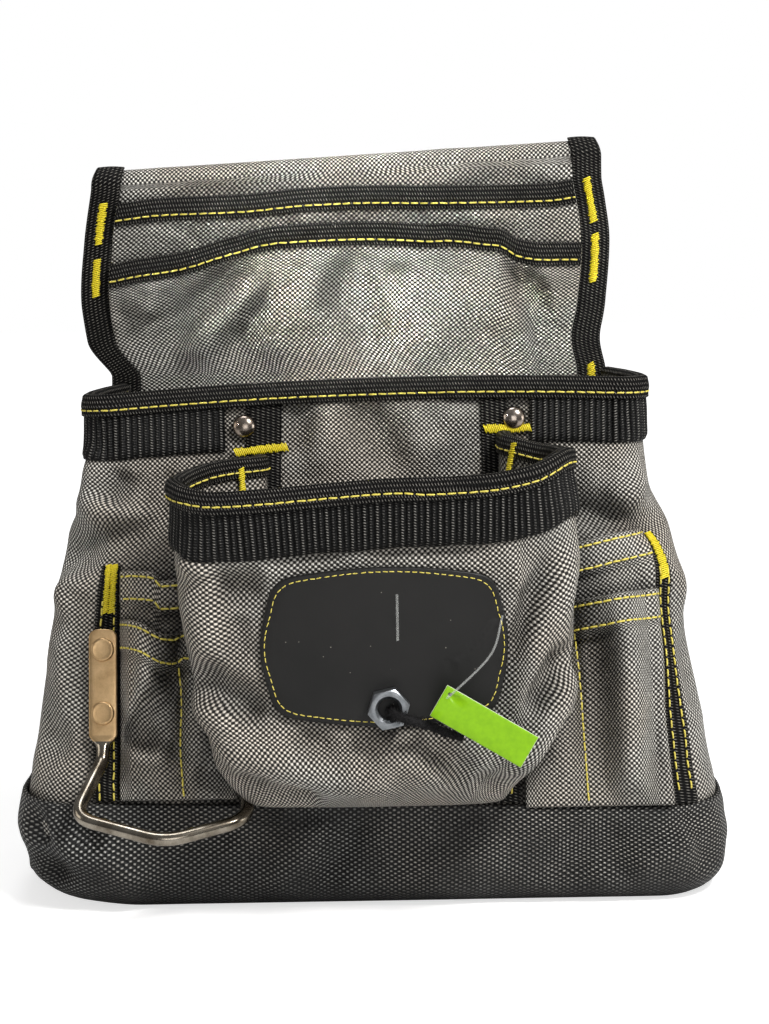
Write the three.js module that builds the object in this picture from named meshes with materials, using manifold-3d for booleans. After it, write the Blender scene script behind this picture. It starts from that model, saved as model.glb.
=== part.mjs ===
// Magnetic tool pouch, in millimetres, +Z up, its front facing -Y.
// The origin is at the middle of the flat underside of the base.
// The cloth pieces are shells on four smooth host surfaces: the main pocket's wall, the front
// pocket's wall, the back panel and the base. Trims, tapes and patches are shells on the same
// hosts, one clearance further out, so they follow when a size changes.
import * as THREE from 'three';
import { mergeVertices } from 'three/addons/utils/BufferGeometryUtils.js';
import Module from 'manifold-3d';

const wasm = await Module();
wasm.setup();

// Cloth and trims
const cloth = 1.6;
const baseCloth = 2;
const panelCloth = 2;
const tapeThickness = 1.4;
const webbingThickness = 1.5;
const bindingThickness = 1.1;
const bindingWidth = 11;
const webbingWidth = 25.4;
const seam = 0.35;

// Main pocket
const rimWidth = 234;
const seamWidth = 290;
const rimHeight = 210.6;
const rimCrownHeight = 3.8;
const rimRiseHeight = 1.9;
const mouthDepth = 46;
const seamDepth = 88;
const rimCornerRadius = 14;
const seamCornerRadius = 26;
const rimTuck = 12.5;
const rimEndShare = 0.06;
const seamTuck = 5;
const panelFrontY = 40;
const wallWidthShares = [[0, 0], [0.22, 0.21], [0.38, 0.37], [0.53, 0.5], [0.62, 0.6],
  [0.73, 0.9], [0.82, 0.96], [1, 1], [1.1, 1]];
const wallDepthShares = [[0, 0], [0.25, 0.27], [0.5, 0.55], [0.75, 0.8], [1, 1], [1.1, 1.04]];
const webbingInnerLeft = 61;
const webbingInnerRight = 68;

// Base
const seamHeight = 42.5;
const seamDropHeight = 3;
const seamOverlap = 12;
const baseEdgeRadius = 13;
const baseBackRadius = 3.4;
const baseBulge = 3.2;

// Back panel, belt tunnel and sleeves
const panelHeight = 303;
const panelRiseHeight = 5;
const panelFlareLeft = 17.5;
const panelDrawRight = 6;
const leftFlareShares = [[0, 0.1], [0.18, 0.8], [0.42, 1], [0.72, 0.87], [1, 0.45]];
const rightDrawShares = [[0, 0.6], [0.16, 1], [0.36, 0.6], [0.68, 0.3], [1, 0.9]];
const tunnelGap = 9;
const tunnelDrop = 82;
const tunnelTaper = 9;
const tunnelFlange = 12;
const upperSleeveHeight = 288.6;
const upperSleeveRiseHeight = 1.4;
const upperSleeveFootHeight = 237;
const upperSleeveBulge = 8.5;
const lowerSleeveHeight = 261.3;
const lowerSleeveRiseHeight = 2.2;
const lowerSleeveArchHeight = 11.8;
const lowerSleeveFootHeight = 188;
const lowerSleeveBulge = 12;
const sleeveStep = 10;
const archShares = [[-1, 0], [-0.72, 0.3], [-0.42, 0.9], [0, 1], [0.4, 0.82], [0.64, 0.12], [1, 0]];
const sleeveBindingWidth = 10;
const sleeveInset = 2.6;

// Tapes on the front of the main pocket
const innerTapeWidth = 14;
const innerTapeTopLeft = 43.5;
const innerTapeFootLeft = 48;
const innerTapeTopRight = 50;
const innerTapeFootRight = 51.7;
const outerTapeWidth = 11;
const outerTapeLeft = 109.3;
const outerTapeTopRight = 115.4;
const outerTapeFootRight = 127.5;
const outerTapeHeadLeft = 136;
const outerTapeHeadRight = 143.6;

// Tool pockets at the sides
const rearPocketLeftHeight = 134.3;
const rearPocketRightHeight = 145;
const frontTierLeftHeight = 111;
const frontTierRightHeight = 115.5;
const tierRiseHeight = 3;
const rearTierBulge = 12;
const frontTierBulge = 11;
const toolPocketInnerLeft = 57;
const toolPocketInnerRight = 61;
const dividerShare = 0.46;

// Front pocket
const pocketHalfWidth = 80;
const pocketRimHeight = 173.6;
const pocketRimLiftHeight = 14;
const pocketRimDepth = 65;
const pocketBellyDepth = 45;
const pocketFootDepth = 13;
const pocketFootHeight = 47.5;
const pocketAttachTopLeft = 45;
const pocketAttachFootLeft = 40;
const pocketAttachTopRight = 55;
const pocketAttachFootRight = 49;
const bellyShare = 0.24;
const pocketRimShares = [[0, 0.53], [0.22, 0.5], [0.5, 0], [0.72, -0.3], [1, 0], [1.3, 0.5], [1.5, 1],
  [1.75, 0.95], [2, 0.89]];
const pocketLeftShares = [[0, 0.58], [0.05, 0.62], [0.15, 0.76], [0.3, 0.83], [0.65, 0.9], [1, 0.995]];
const pocketRightShares = [[0, 0.62], [0.05, 0.66], [0.14, 0.84], [0.24, 0.95], [0.5, 0.99], [1, 1.01]];
const pocketDepthShares = [[0, 0], [0.25, 0], [0.6, 0.4], [1, 1]];
const planOutShares = [0, 0.04, 0.3, 0.75, 1, 0.97, 0.84, 0.62, 0.34, 0];
const planDepthShares = [0, 0.15, 0.27, 0.42, 0.62, 0.8, 0.92, 0.97, 0.99, 1];
const planTurn = 4;

// Patch and the magnets behind it
const patchWidth = 94;
const patchHeight = 62.6;
const patchBarrel = 3;
const patchCorner = 13;
const patchThickness = 2;
const patchX = 4.8;
const patchZ = 116;
const magnetDiameter = 18;
const magnetThickness = 3;
const carrierThickness = 4.2;
const carrierInset = 6;
const linerThickness = 1.2;
const magnetPitchX = 23;
const magnetPitchZ = 26;
const magnetRowDrop = 4;

// Rivets
const rivetHeadDiameter = 9.4;
const rivetShankDiameter = 4;
const rivetWasherDiameter = 9;
const rivetWasherThickness = 1;
const rivetDome = 2.6;
const loopRivetHead = 1.6;
const holeClearance = 0.3;
const rimRivetLeft = 52;
const rimRivetRight = 60;

// Hammer loop
const wireDiameter = 5.5;
const plateWidth = 11.5;
const plateLength = 42.5;
const plateThickness = 2.5;
const plateTopHeight = 113.5;
const plateLeftX = 110.4;
const plateRightX = 48.2;
const plateRivetInset = 8.4;
const shoulderLength = 7;
const loopDropLeft = 62;
const loopDropRight = 53;
const loopReach = 75;
const loopVeeReach = 85;
const loopLeftX = 119;
const loopVeeX = 82.7;
const loopRightX = 51.5;
const loopLeftHeight = 47.7;
const loopVeeHeight = 40.5;
const loopRightHeight = 45.6;
const loopBend = 8;

// Nut, cord and hang tag
const nutAcrossFlats = 14.3;
const nutThickness = 8.3;
const nutBore = 8.6;
const nutChamfer = 0.9;
const nutTurn = 12;
const nutStand = 0.7;
const nutX = 4.8;
const nutZ = 92.6;
const cordDiameter = 3.4;
const tagLength = 40;
const tagWidth = 13.4;
const tagThickness = 1.2;
const tagTilt = 31;
const tagX = 41;
const tagZ = 88;
const tagStandoff = 13;
const tagHoleInset = 2.6;
const filamentDiameter = 0.9;
const filamentX = 49;
const filamentZ = 127;
const tackLength = 18;
const tackDiameter = 1.1;
const tackX = 8.8;
const tackZ = 127.5;
const cutOverrun = 6;

// Small maths
const lerp = (a, b, t) => a + (b - a) * t;
const clamp01 = (t) => Math.min(1, Math.max(0, t));
const smooth = (t) => clamp01(t) * clamp01(t) * (3 - 2 * clamp01(t));
const steps = (count, from = 0, to = 1) => Array.from({ length: count + 1 }, (_, i) => lerp(from, to, i / count));

// A smooth curve through a table of [place, value] shares, without overshoot.
function curve(table, t) {
  const last = table.length - 1;
  if (t <= table[0][0]) return table[0][1];
  if (t >= table[last][0]) return table[last][1];
  let k = 0;
  while (t > table[k + 1][0]) k += 1;
  const slope = (i) => (table[i + 1][1] - table[i][1]) / (table[i + 1][0] - table[i][0]);
  const tangent = (i) => {
    if (i === 0) return slope(0);
    if (i === last) return slope(last - 1);
    const before = slope(i - 1);
    const after = slope(i);
    return before * after <= 0 ? 0 : (2 * before * after) / (before + after);
  };
  const width = table[k + 1][0] - table[k][0];
  const s = (t - table[k][0]) / width;
  const rise = table[k + 1][1] - table[k][1];
  const bendIn = tangent(k) * width - rise;
  const bendOut = rise - tangent(k + 1) * width;
  return table[k][1] + rise * s + s * (1 - s) * (bendIn * (1 - s) + bendOut * s);
}

// The value of an evenly spaced list at a share s of its length, on a smooth curve.
function along(list, s) {
  const spans = list.length - 1;
  const k = Math.min(spans - 1, Math.floor(s * spans));
  const f = s * spans - k;
  const p1 = list[k];
  const p2 = list[k + 1];
  const p0 = k > 0 ? list[k - 1] : 2 * p1 - p2;
  const p3 = k + 2 <= spans ? list[k + 2] : 2 * p2 - p1;
  const a = 2 * p0 - 5 * p1 + 4 * p2 - p3;
  const b = 3 * p1 - p0 - 3 * p2 + p3;
  return (2 * p1 + (p2 - p0) * f + a * f * f + b * f * f * f) / 2;
}

// Finds where a rising function reaches a value, by halving.
function solve(rising, value, from, to) {
  let low = from;
  let high = to;
  for (let i = 0; i < 40; i += 1) {
    const middle = (low + high) / 2;
    if (rising(middle) < value) low = middle;
    else high = middle;
  }
  return (low + high) / 2;
}

// A point that stands d outside a host surface at (u, z). The surface runs left to right and up.
function offsetFrom(surface, uLast, u, z, d) {
  const du = 0.004;
  const dz = pocketRimHeight / 1000;
  const uLow = Math.max(0, u - du);
  const uHigh = Math.min(uLast, u + du);
  const acrossWay = surface(uHigh, z).sub(surface(uLow, z));
  const upWay = surface(u, z + dz).sub(surface(u, z - dz));
  return surface(u, z).addScaledVector(acrossWay.cross(upWay).normalize(), d);
}

// Closed shell over a grid of points. place(i, j, face) gives a point of the inner face, 0, or outer, 1.
function shell(place, columns, rows) {
  const points = [];
  const faces = [];
  const index = (i, j, face) => (face * (columns + 1) + i) * (rows + 1) + j;
  for (let face = 0; face < 2; face += 1) {
    for (let i = 0; i <= columns; i += 1) {
      for (let j = 0; j <= rows; j += 1) points.push(place(i, j, face));
    }
  }
  const quad = (a, b, c, d) => faces.push(a, b, c, a, c, d);
  for (let i = 0; i < columns; i += 1) {
    for (let j = 0; j < rows; j += 1) {
      quad(index(i, j, 1), index(i + 1, j, 1), index(i + 1, j + 1, 1), index(i, j + 1, 1));
      quad(index(i, j, 0), index(i, j + 1, 0), index(i + 1, j + 1, 0), index(i + 1, j, 0));
    }
    quad(index(i, 0, 0), index(i + 1, 0, 0), index(i + 1, 0, 1), index(i, 0, 1));
    quad(index(i, rows, 1), index(i + 1, rows, 1), index(i + 1, rows, 0), index(i, rows, 0));
  }
  for (let j = 0; j < rows; j += 1) {
    quad(index(0, j, 0), index(0, j, 1), index(0, j + 1, 1), index(0, j + 1, 0));
    quad(index(columns, j, 1), index(columns, j, 0), index(columns, j + 1, 0), index(columns, j + 1, 1));
  }
  return closed(points, faces);
}

// Solid swept through rings of points with one outline each, capped at both ends.
function loft(rings, outline) {
  const points = rings.flat();
  const size = outline.length;
  const faces = [];
  for (let i = 0; i + 1 < rings.length; i += 1) {
    for (let k = 0; k < size; k += 1) {
      const a = i * size + k;
      const b = i * size + ((k + 1) % size);
      faces.push(a, b, b + size, a, b + size, a + size);
    }
  }
  const end = (rings.length - 1) * size;
  const caps = THREE.ShapeUtils.triangulateShape(outline, []);
  const turned = THREE.ShapeUtils.isClockWise(outline);
  for (const [a, b, c] of caps.map((face) => (turned ? face.slice().reverse() : face))) {
    faces.push(a, c, b);
    faces.push(end + a, end + b, end + c);
  }
  return closed(points, faces);
}

// A geometry from points and triangles, turned so that its faces point out.
function closed(points, faces) {
  let volume = 0;
  for (let i = 0; i < faces.length; i += 3) {
    const [a, b, c] = [points[faces[i]], points[faces[i + 1]], points[faces[i + 2]]];
    volume += a.dot(b.clone().cross(c));
  }
  const order = volume < 0 ? faces.slice().reverse() : faces;
  const geometry = new THREE.BufferGeometry();
  geometry.setAttribute('position', new THREE.Float32BufferAttribute(points.flatMap((p) => [p.x, p.y, p.z]), 3));
  geometry.setIndex(order);
  return geometry;
}

// Joining and cutting
function toSolid(geometry) {
  const bare = geometry.clone();
  bare.deleteAttribute('normal');
  bare.deleteAttribute('uv');
  const merged = mergeVertices(bare);
  const vertProperties = new Float32Array(merged.attributes.position.array);
  const triVerts = new Uint32Array(merged.index.array);
  return new wasm.Manifold(new wasm.Mesh({ numProp: 3, vertProperties, triVerts }));
}

function toGeometry(solid) {
  const mesh = solid.getMesh();
  const geometry = new THREE.BufferGeometry();
  geometry.setAttribute('position', new THREE.BufferAttribute(new Float32Array(mesh.vertProperties), 3));
  geometry.setIndex(new THREE.BufferAttribute(new Uint32Array(mesh.triVerts), 1));
  return geometry;
}

const join = (...geometries) => toGeometry(geometries.map(toSolid).reduce((a, b) => a.add(b)));
const cut = (geometry, ...cutters) => toGeometry(cutters.map(toSolid).reduce((a, b) => a.subtract(b), toSolid(geometry)));
const common = (a, b) => toGeometry(toSolid(a).intersect(toSolid(b)));

// The place and turn of a piece seated on a surface: its own Z stands along the outward normal.
function seat(pointAt, turn = 0) {
  const foot = pointAt(0);
  const normal = pointAt(1).sub(foot).normalize();
  const right = new THREE.Vector3(1, 0, 0).addScaledVector(normal, -normal.x).normalize();
  const up = normal.clone().cross(right);
  const matrix = new THREE.Matrix4().makeBasis(right, up, normal).setPosition(foot);
  return matrix.multiply(new THREE.Matrix4().makeRotationZ(turn));
}

// Main pocket: a wall that runs from the back panel round the left side, the front and the right
// side. u is 0 to 1 on the left side, 1 to 2 on its corner, 2 to 3 on the front, and so on to 5.
const wallLast = 5;
const wallFootHeight = seamHeight - seamOverlap;
const rearEdgeY = panelFrontY - seam - bindingThickness - seam;

function wallSizes(z) {
  const t = (z - seamHeight) / (rimHeight - seamHeight);
  return {
    half: lerp(seamWidth, rimWidth, curve(wallWidthShares, t)) / 2,
    frontY: panelFrontY - lerp(seamDepth, mouthDepth, curve(wallDepthShares, t)),
    corner: lerp(seamCornerRadius, rimCornerRadius, clamp01(t)),
    tuck: lerp(seamTuck, rimTuck, clamp01(t)),
  };
}

function wall(u, z) {
  const { half, frontY, corner, tuck } = wallSizes(z);
  const side = u < wallLast / 2 ? -1 : 1;
  const w = side < 0 ? u : wallLast - u;
  if (w <= 1) {
    const bow = 1 - Math.sin((Math.PI / 2) * w);
    return new THREE.Vector3(side * (half - tuck * bow), lerp(rearEdgeY, frontY + corner, w), z);
  }
  if (w <= 2) {
    const angle = (Math.PI / 2) * (w - 1);
    const x = half - corner + corner * Math.cos(angle);
    return new THREE.Vector3(side * x, frontY + corner - corner * Math.sin(angle), z);
  }
  return new THREE.Vector3(side * (half - corner) * (1 - 2 * (w - 2)), frontY, z);
}

const onWall = (u, z, d) => offsetFrom(wall, wallLast, u, z, d);

// The place along the wall where its front or a front corner has this x.
function wallU(x, z) {
  const { half, corner } = wallSizes(z);
  const flat = half - corner;
  const side = Math.sign(x) || 1;
  const far = Math.min(Math.abs(x), half);
  const w = far <= flat ? 2 + (1 - far / flat) / 2 : 1 + Math.acos((far - flat) / corner) / (Math.PI / 2);
  return side < 0 ? w : wallLast - w;
}

function rimZ(u) {
  const share = wall(u, rimHeight).x / (rimWidth / 2);
  return rimHeight + rimRiseHeight * share - rimCrownHeight * share * share;
}

const seamZ = (x) => seamHeight - (seamDropHeight * x) / (seamWidth / 2);

const sideSteps = steps(3);
const wallStops = [
  ...sideSteps.slice(0, -1),
  ...steps(4, 1, 2).slice(0, -1),
  ...steps(8, 2, 3),
  ...steps(4, 3, 4).slice(1),
  ...sideSteps.slice(1).map((s) => 4 + s),
];
const wallRows = [0, 0.08, 0.22, 0.38, 0.53, 0.62, 0.69, 0.76, 0.87, 1];

function mainPocketWall() {
  const place = (i, j, face) => {
    const u = wallStops[i];
    return onWall(u, lerp(wallFootHeight, rimZ(u), wallRows[j]), face ? 0 : -cloth);
  };
  return shell(place, wallStops.length - 1, wallRows.length - 1);
}

// A strip that lies on the wall between two places, from low to high, with the wall's own stops.
function wallStrip(stopsAt, lowAt, highAt, rows, inner, outer) {
  const columns = stopsAt(rimHeight).length - 1;
  const place = (i, j, face) => {
    const share = j / rows;
    const guess = lerp(lowAt(0), highAt(0), share);
    const u = stopsAt(guess)[i];
    const z = lerp(lowAt(u), highAt(u), share);
    return onWall(u, z, face ? outer : inner);
  };
  return shell(place, columns, rows);
}

// A U-shaped binding folded over an edge: at(i, d, rise) is a point d outside the host's face and
// rise above its edge.
function edgeBinding(at, count, outside, inside, width) {
  const top = seam + bindingThickness;
  const section = (gap) => [
    [gap, -width], [gap + bindingThickness, -width], [gap + bindingThickness, top],
    [-inside - seam - bindingThickness, top], [-inside - seam - bindingThickness, -width],
    [-inside - seam, -width], [-inside - seam, seam], [gap, seam],
  ];
  const rings = [];
  for (let i = 0; i <= count; i += 1) rings.push(section(outside(i)).map(([d, rise]) => at(i, d, rise)));
  return loft(rings, section(seam).map(([d, rise]) => new THREE.Vector2(d, rise)));
}

const overWebbing = seam + webbingThickness + seam;
const leftWebbingEnd = wallU(-webbingInnerLeft, rimHeight);
const rightWebbingEnd = wallU(webbingInnerRight, rimHeight);
const plainLeftEnd = wallU(-(innerTapeTopLeft - innerTapeWidth), rimHeight);
const plainRightEnd = wallU(innerTapeTopRight - innerTapeWidth, rimHeight);
const rampU = (plainLeftEnd - leftWebbingEnd) / 4;

// The binding stands over the webbing and the tapes, and lies on the bare cloth between them.
function rimGap(u) {
  const plain = smooth((u - plainLeftEnd) / rampU) * smooth((plainRightEnd - u) / rampU);
  return lerp(overWebbing, seam, plain);
}

const rimStops = [rimEndShare, ...wallStops.slice(1, -1), wallLast - rimEndShare, plainLeftEnd, plainLeftEnd + rampU,
  plainRightEnd - rampU, plainRightEnd].sort((a, b) => a - b);

function mainRimBinding() {
  const at = (i, d, rise) => onWall(rimStops[i], rimZ(rimStops[i]) + rise, d);
  return edgeBinding(at, rimStops.length - 1, (i) => rimGap(rimStops[i]), cloth, bindingWidth);
}

function rimWebbing(from, to) {
  const stops = [from, ...wallStops.filter((u) => u > from + rampU / 2 && u < to - rampU / 2), to];
  return wallStrip(() => stops, (u) => rimZ(u) - webbingWidth, rimZ, 1, seam, seam + webbingThickness);
}

// A tape from under the rim or a bar tack down to the base seam, xAt giving its middle line.
function wallTape(xAt, width, side, headZ, columns) {
  const edges = (z) => [xAt(z) - width / 2, xAt(z) + width / 2].map((x) => wallU(side * x, z)).sort((a, b) => a - b);
  const stopsAt = (z) => steps(columns, ...edges(z));
  const low = seamZ(side * xAt(seamHeight)) + seam + bindingThickness;
  return wallStrip(stopsAt, () => low, () => headZ, 8, seam, seam + tapeThickness);
}

const heightShare = (z, low, high) => (z - low) / (high - low);
const innerTapeX = (top, foot) => (z) => lerp(foot, top, heightShare(z, seamHeight, rimHeight));
const innerTapeHead = rimHeight - rimCrownHeight / 2;
const outerRightX = (z) => lerp(outerTapeFootRight, outerTapeTopRight, heightShare(z, seamHeight, outerTapeHeadRight));

// Side tool pockets: two tiers of cloth that stand off the wall and close at their sides and foot.
function tierPlace(side, z, share) {
  const inner = side < 0 ? toolPocketInnerLeft : toolPocketInnerRight;
  const tape = side < 0 ? outerTapeLeft : outerRightX(z);
  return wallU(side * lerp(inner, tape - outerTapeWidth / 2 - seam, share), z);
}

const tierFoot = (side) => seamZ(side * outerTapeLeft) + seam + bindingThickness;
const rearTop = (side) => (side < 0 ? rearPocketLeftHeight : rearPocketRightHeight);
const frontTop = (side) => (side < 0 ? frontTierLeftHeight : frontTierRightHeight);
const fullness = (z, foot, top) => Math.sin((Math.PI / 2) * clamp01(heightShare(z, foot, top)));

function rearOffset(side, share, z) {
  return seam + rearTierBulge * Math.sin(Math.PI * share) * fullness(z, tierFoot(side), rearTop(side));
}

function frontOffset(side, share, z) {
  const lobe = share < dividerShare ? share / dividerShare : (share - dividerShare) / (1 - dividerShare);
  const bulge = frontTierBulge * Math.sin(Math.PI * lobe) * fullness(z, tierFoot(side), frontTop(side));
  return rearOffset(side, share, z) + cloth + seam + bulge;
}

const rearShares = steps(10);
const frontShares = [...steps(6, 0, dividerShare), ...steps(6, dividerShare, 1).slice(1)];

function toolPocket(side, shares, topAt, offset) {
  const rows = 6;
  const place = (i, j, face) => {
    const share = side < 0 ? shares[shares.length - 1 - i] : shares[i];
    const z = lerp(tierFoot(side), topAt(share), j / rows);
    return onWall(tierPlace(side, z, share), z, offset(side, share, z) + (face ? cloth : 0));
  };
  return shell(place, shares.length - 1, rows);
}

// Base: one moulded tray of cloth round the foot of the pocket and the back panel.
const baseBackY = panelFrontY + panelCloth + seam + baseCloth;

function baseLoop(d, z) {
  const loop = wallStops.map((u) => onWall(u, seamHeight, d).setZ(z));
  const sideX = loop[loop.length - 1].x;
  const reach = d - seam - baseCloth;
  const backY = baseBackY + reach;
  const radius = Math.max(baseBackRadius + reach, baseCloth);
  const arc = steps(4).map((s) => [Math.cos((Math.PI / 2) * s), Math.sin((Math.PI / 2) * s)]);
  const right = arc.map(([c, s]) => new THREE.Vector3(sideX - radius + radius * c, backY - radius + radius * s, z));
  const left = right.map((p) => new THREE.Vector3(-p.x, p.y, z)).reverse();
  return [...loop, ...right.slice(1), ...left.slice(0, -1)];
}

function basePanel() {
  const outerD = seam + baseCloth;
  const tilt = (p) => p.setZ(seamZ(p.x));
  const bulge = (z) => baseBulge * Math.sin(Math.PI * clamp01(heightShare(z, 0, seamHeight)));
  const levels = [];
  const round = (radius, floor, reach) => {
    for (const s of steps(4)) {
      const angle = (Math.PI / 2) * s;
      const z = floor + radius * (1 - Math.cos(angle));
      levels.push(baseLoop(reach + bulge(baseEdgeRadius) - radius * (1 - Math.sin(angle)), z));
    }
  };
  round(baseEdgeRadius, 0, outerD);
  const rise = (s) => lerp(baseEdgeRadius, seamHeight, s);
  for (const s of [0.33, 0.66]) levels.push(baseLoop(outerD + bulge(rise(s)), rise(s)));
  levels.push(baseLoop(outerD, seamHeight).map(tilt));
  const outerCount = levels.length;
  round(baseEdgeRadius - baseCloth, baseCloth, seam);
  for (const s of [0.33, 0.66]) levels.push(baseLoop(seam + bulge(rise(s)), rise(s)));
  levels.push(baseLoop(seam, seamHeight).map(tilt));
  const order = [...levels.slice(0, outerCount), ...levels.slice(outerCount).reverse()];
  const outline = order[0].map((p) => new THREE.Vector2(p.x, p.y));
  return loft(order, outline);
}

// Back panel, its folded belt tunnel and its side bindings
function panelEdge(side, z) {
  const { half, tuck } = wallSizes(Math.min(z, rimHeight));
  const rise = clamp01(heightShare(z, rimHeight, panelHeight));
  const lean = clamp01(heightShare(z, seamHeight, rimHeight));
  const change = side < 0
    ? panelFlareLeft * curve(leftFlareShares, rise)
    : -panelDrawRight * curve(rightDrawShares, rise);
  return side * (half - tuck + change * lean);
}

const foldRadius = tunnelGap / 2 + panelCloth;
const foldZ = (x) => panelHeight - foldRadius + (panelRiseHeight * x) / (rimWidth / 2);
const bindingLow = seamHeight + seamDropHeight + seam + bindingThickness;
const panelHead = panelHeight - foldRadius - panelRiseHeight - 2 * seam;
const panelLevels = [
  wallFootHeight,
  ...steps(5, bindingLow, rimHeight),
  ...leftFlareShares.slice(1).flatMap(([share], k) => {
    const from = lerp(rimHeight, panelHead, leftFlareShares[k][0]);
    return steps(2, from, lerp(rimHeight, panelHead, share)).slice(1);
  }),
];

// The panel's edge between two of its levels is straight, as its facets are.
function panelSide(side, z) {
  const last = panelLevels.length - 1;
  let k = 0;
  while (k < last - 1 && z > panelLevels[k + 1]) k += 1;
  const share = heightShare(z, panelLevels[k], panelLevels[k + 1]);
  return lerp(panelEdge(side, panelLevels[k]), panelEdge(side, panelLevels[k + 1]), share);
}

const panelLast = panelLevels.length;
const panelLevel = (row, side) => (row < panelLast ? panelLevels[row] : foldZ(panelSide(side, panelHead)) - seam);

function panelPoint(share, row, y) {
  const left = new THREE.Vector3(panelSide(-1, panelLevel(row, -1)), y, panelLevel(row, -1));
  const right = new THREE.Vector3(panelSide(1, panelLevel(row, 1)), y, panelLevel(row, 1));
  return left.lerp(right, share);
}

function backPanel() {
  const place = (i, j, face) => panelPoint(i / 4, j, panelFrontY + (face ? 0 : panelCloth));
  return shell(place, 4, panelLast);
}

// Belt tunnel: the cloth turns over the top of the panel, hangs down behind it and is sewn on below.
function beltTunnel() {
  const centreY = panelFrontY + foldRadius;
  const innerRadius = foldRadius - panelCloth;
  const rearY = centreY + foldRadius;
  const seatY = panelFrontY + panelCloth + seam;
  const arc = steps(6, Math.PI, 0);
  const section = (z0) => {
    const foot = z0 - tunnelDrop;
    const end = foot - tunnelTaper - tunnelFlange;
    return [
      ...arc.map((a) => [centreY + foldRadius * Math.cos(a), z0 + foldRadius * Math.sin(a)]),
      [rearY, foot], [seatY + panelCloth, foot - tunnelTaper], [seatY + panelCloth, end],
      [seatY, end], [seatY, foot - tunnelTaper], [rearY - panelCloth, foot],
      ...arc.slice().reverse().map((a) => [centreY + innerRadius * Math.cos(a), z0 + innerRadius * Math.sin(a)]),
    ];
  };
  const rings = steps(6).map((share) => {
    const inset = bindingWidth + seam;
    const sideX = (side, z) => panelSide(side, Math.min(z, panelLevel(panelLast, side))) - side * inset;
    const xAt = (z) => lerp(sideX(-1, z), sideX(1, z), share);
    return section(foldZ(xAt(panelHead))).map(([y, z]) => new THREE.Vector3(xAt(z), y, z));
  });
  return loft(rings, section(panelHeight).map(([y, z]) => new THREE.Vector2(y, z)));
}

function panelBinding(side) {
  const outerX = seam + bindingThickness;
  const frontY = panelFrontY - seam;
  const backY = panelFrontY + panelCloth + seam;
  const section = [
    [-bindingWidth, frontY - bindingThickness], [outerX, frontY - bindingThickness],
    [outerX, backY + bindingThickness], [-bindingWidth, backY + bindingThickness],
    [-bindingWidth, backY], [seam, backY], [seam, frontY], [-bindingWidth, frontY],
  ];
  const edges = steps(panelLast - 1, 1, panelLast).map((row) => panelPoint(side < 0 ? 0 : 1, row, 0));
  const head = edges[edges.length - 1].clone();
  head.z += foldRadius + seam;
  const rings = [...edges, head].map((edge) => section.map(([x, y]) => new THREE.Vector3(edge.x + side * x, y, edge.z)));
  return loft(rings, rings[0].map((p) => new THREE.Vector2(p.x, p.y)));
}

// Sleeves on the back panel: flat pockets whose mouths stand open. across is -1 to 1.
const sleeveRows = [...steps(6), 1];
const sleeveStops = steps(12, -1, 1);
const crown = (across) => Math.cos((Math.PI / 2) * across);

function sleeveX(across, z) {
  const left = panelSide(-1, z) + bindingWidth + sleeveInset;
  const right = panelSide(1, z) - bindingWidth - sleeveInset;
  return lerp(left, right, (across + 1) / 2);
}

const upperTop = (across) => upperSleeveHeight + upperSleeveRiseHeight * across;
const lowerTop = (across) => lowerSleeveHeight + lowerSleeveRiseHeight * across + lowerSleeveArchHeight * curve(archShares, across);
const mouthLift = (z, top) => (bindingThickness + seam) * smooth((z - top + 2 * sleeveBindingWidth) / sleeveBindingWidth);

function upperStand(across, z) {
  const share = fullness(z, upperSleeveFootHeight, upperTop(across));
  return seam + mouthLift(z, upperTop(across)) + upperSleeveBulge * crown(across) * share;
}

function lowerStand(across, z) {
  const over = smooth((z - upperSleeveFootHeight + sleeveStep + cloth) / sleeveStep);
  const under = (upperStand(across, Math.max(z, upperSleeveFootHeight)) + cloth) * over;
  const share = fullness(z, lowerSleeveFootHeight, lowerTop(across));
  return seam + under + mouthLift(z, lowerTop(across)) + lowerSleeveBulge * crown(across) * share;
}

function sleevePoint(across, z, stand) {
  return new THREE.Vector3(sleeveX(across, z), panelFrontY - stand, z);
}

function sleeve(foot, topAt, standAt) {
  const place = (i, j, face) => {
    const across = sleeveStops[i];
    const top = topAt(across);
    const z = j < sleeveRows.length - 1 ? lerp(foot, top - sleeveBindingWidth, sleeveRows[j]) : top;
    return sleevePoint(across, z, standAt(across, z) + (face ? cloth : 0));
  };
  return shell(place, sleeveStops.length - 1, sleeveRows.length - 1);
}

function sleeveBinding(topAt, standAt) {
  const at = (i, d, rise) => {
    const across = sleeveStops[i];
    const top = topAt(across);
    const host = standAt(across, Math.min(top + rise, top)) + cloth;
    return sleevePoint(across, top + rise, host + d);
  };
  return edgeBinding(at, sleeveStops.length - 1, () => seam, cloth, sleeveBindingWidth);
}

// Front pocket: a bellied wall that stands on the two inner tapes. u is 0 at its left edge, 1 in the
// middle of its front and 2 at its right edge; v is 0 at its foot and 1 at its rim.
const pocketLast = 2;
const pocketStand = seam + tapeThickness + 2 * seam;
const pocketRimZ = (u) => pocketRimHeight + pocketRimLiftHeight * curve(pocketRimShares, u);
const turnShare = planTurn / (planOutShares.length - 1);

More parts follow.
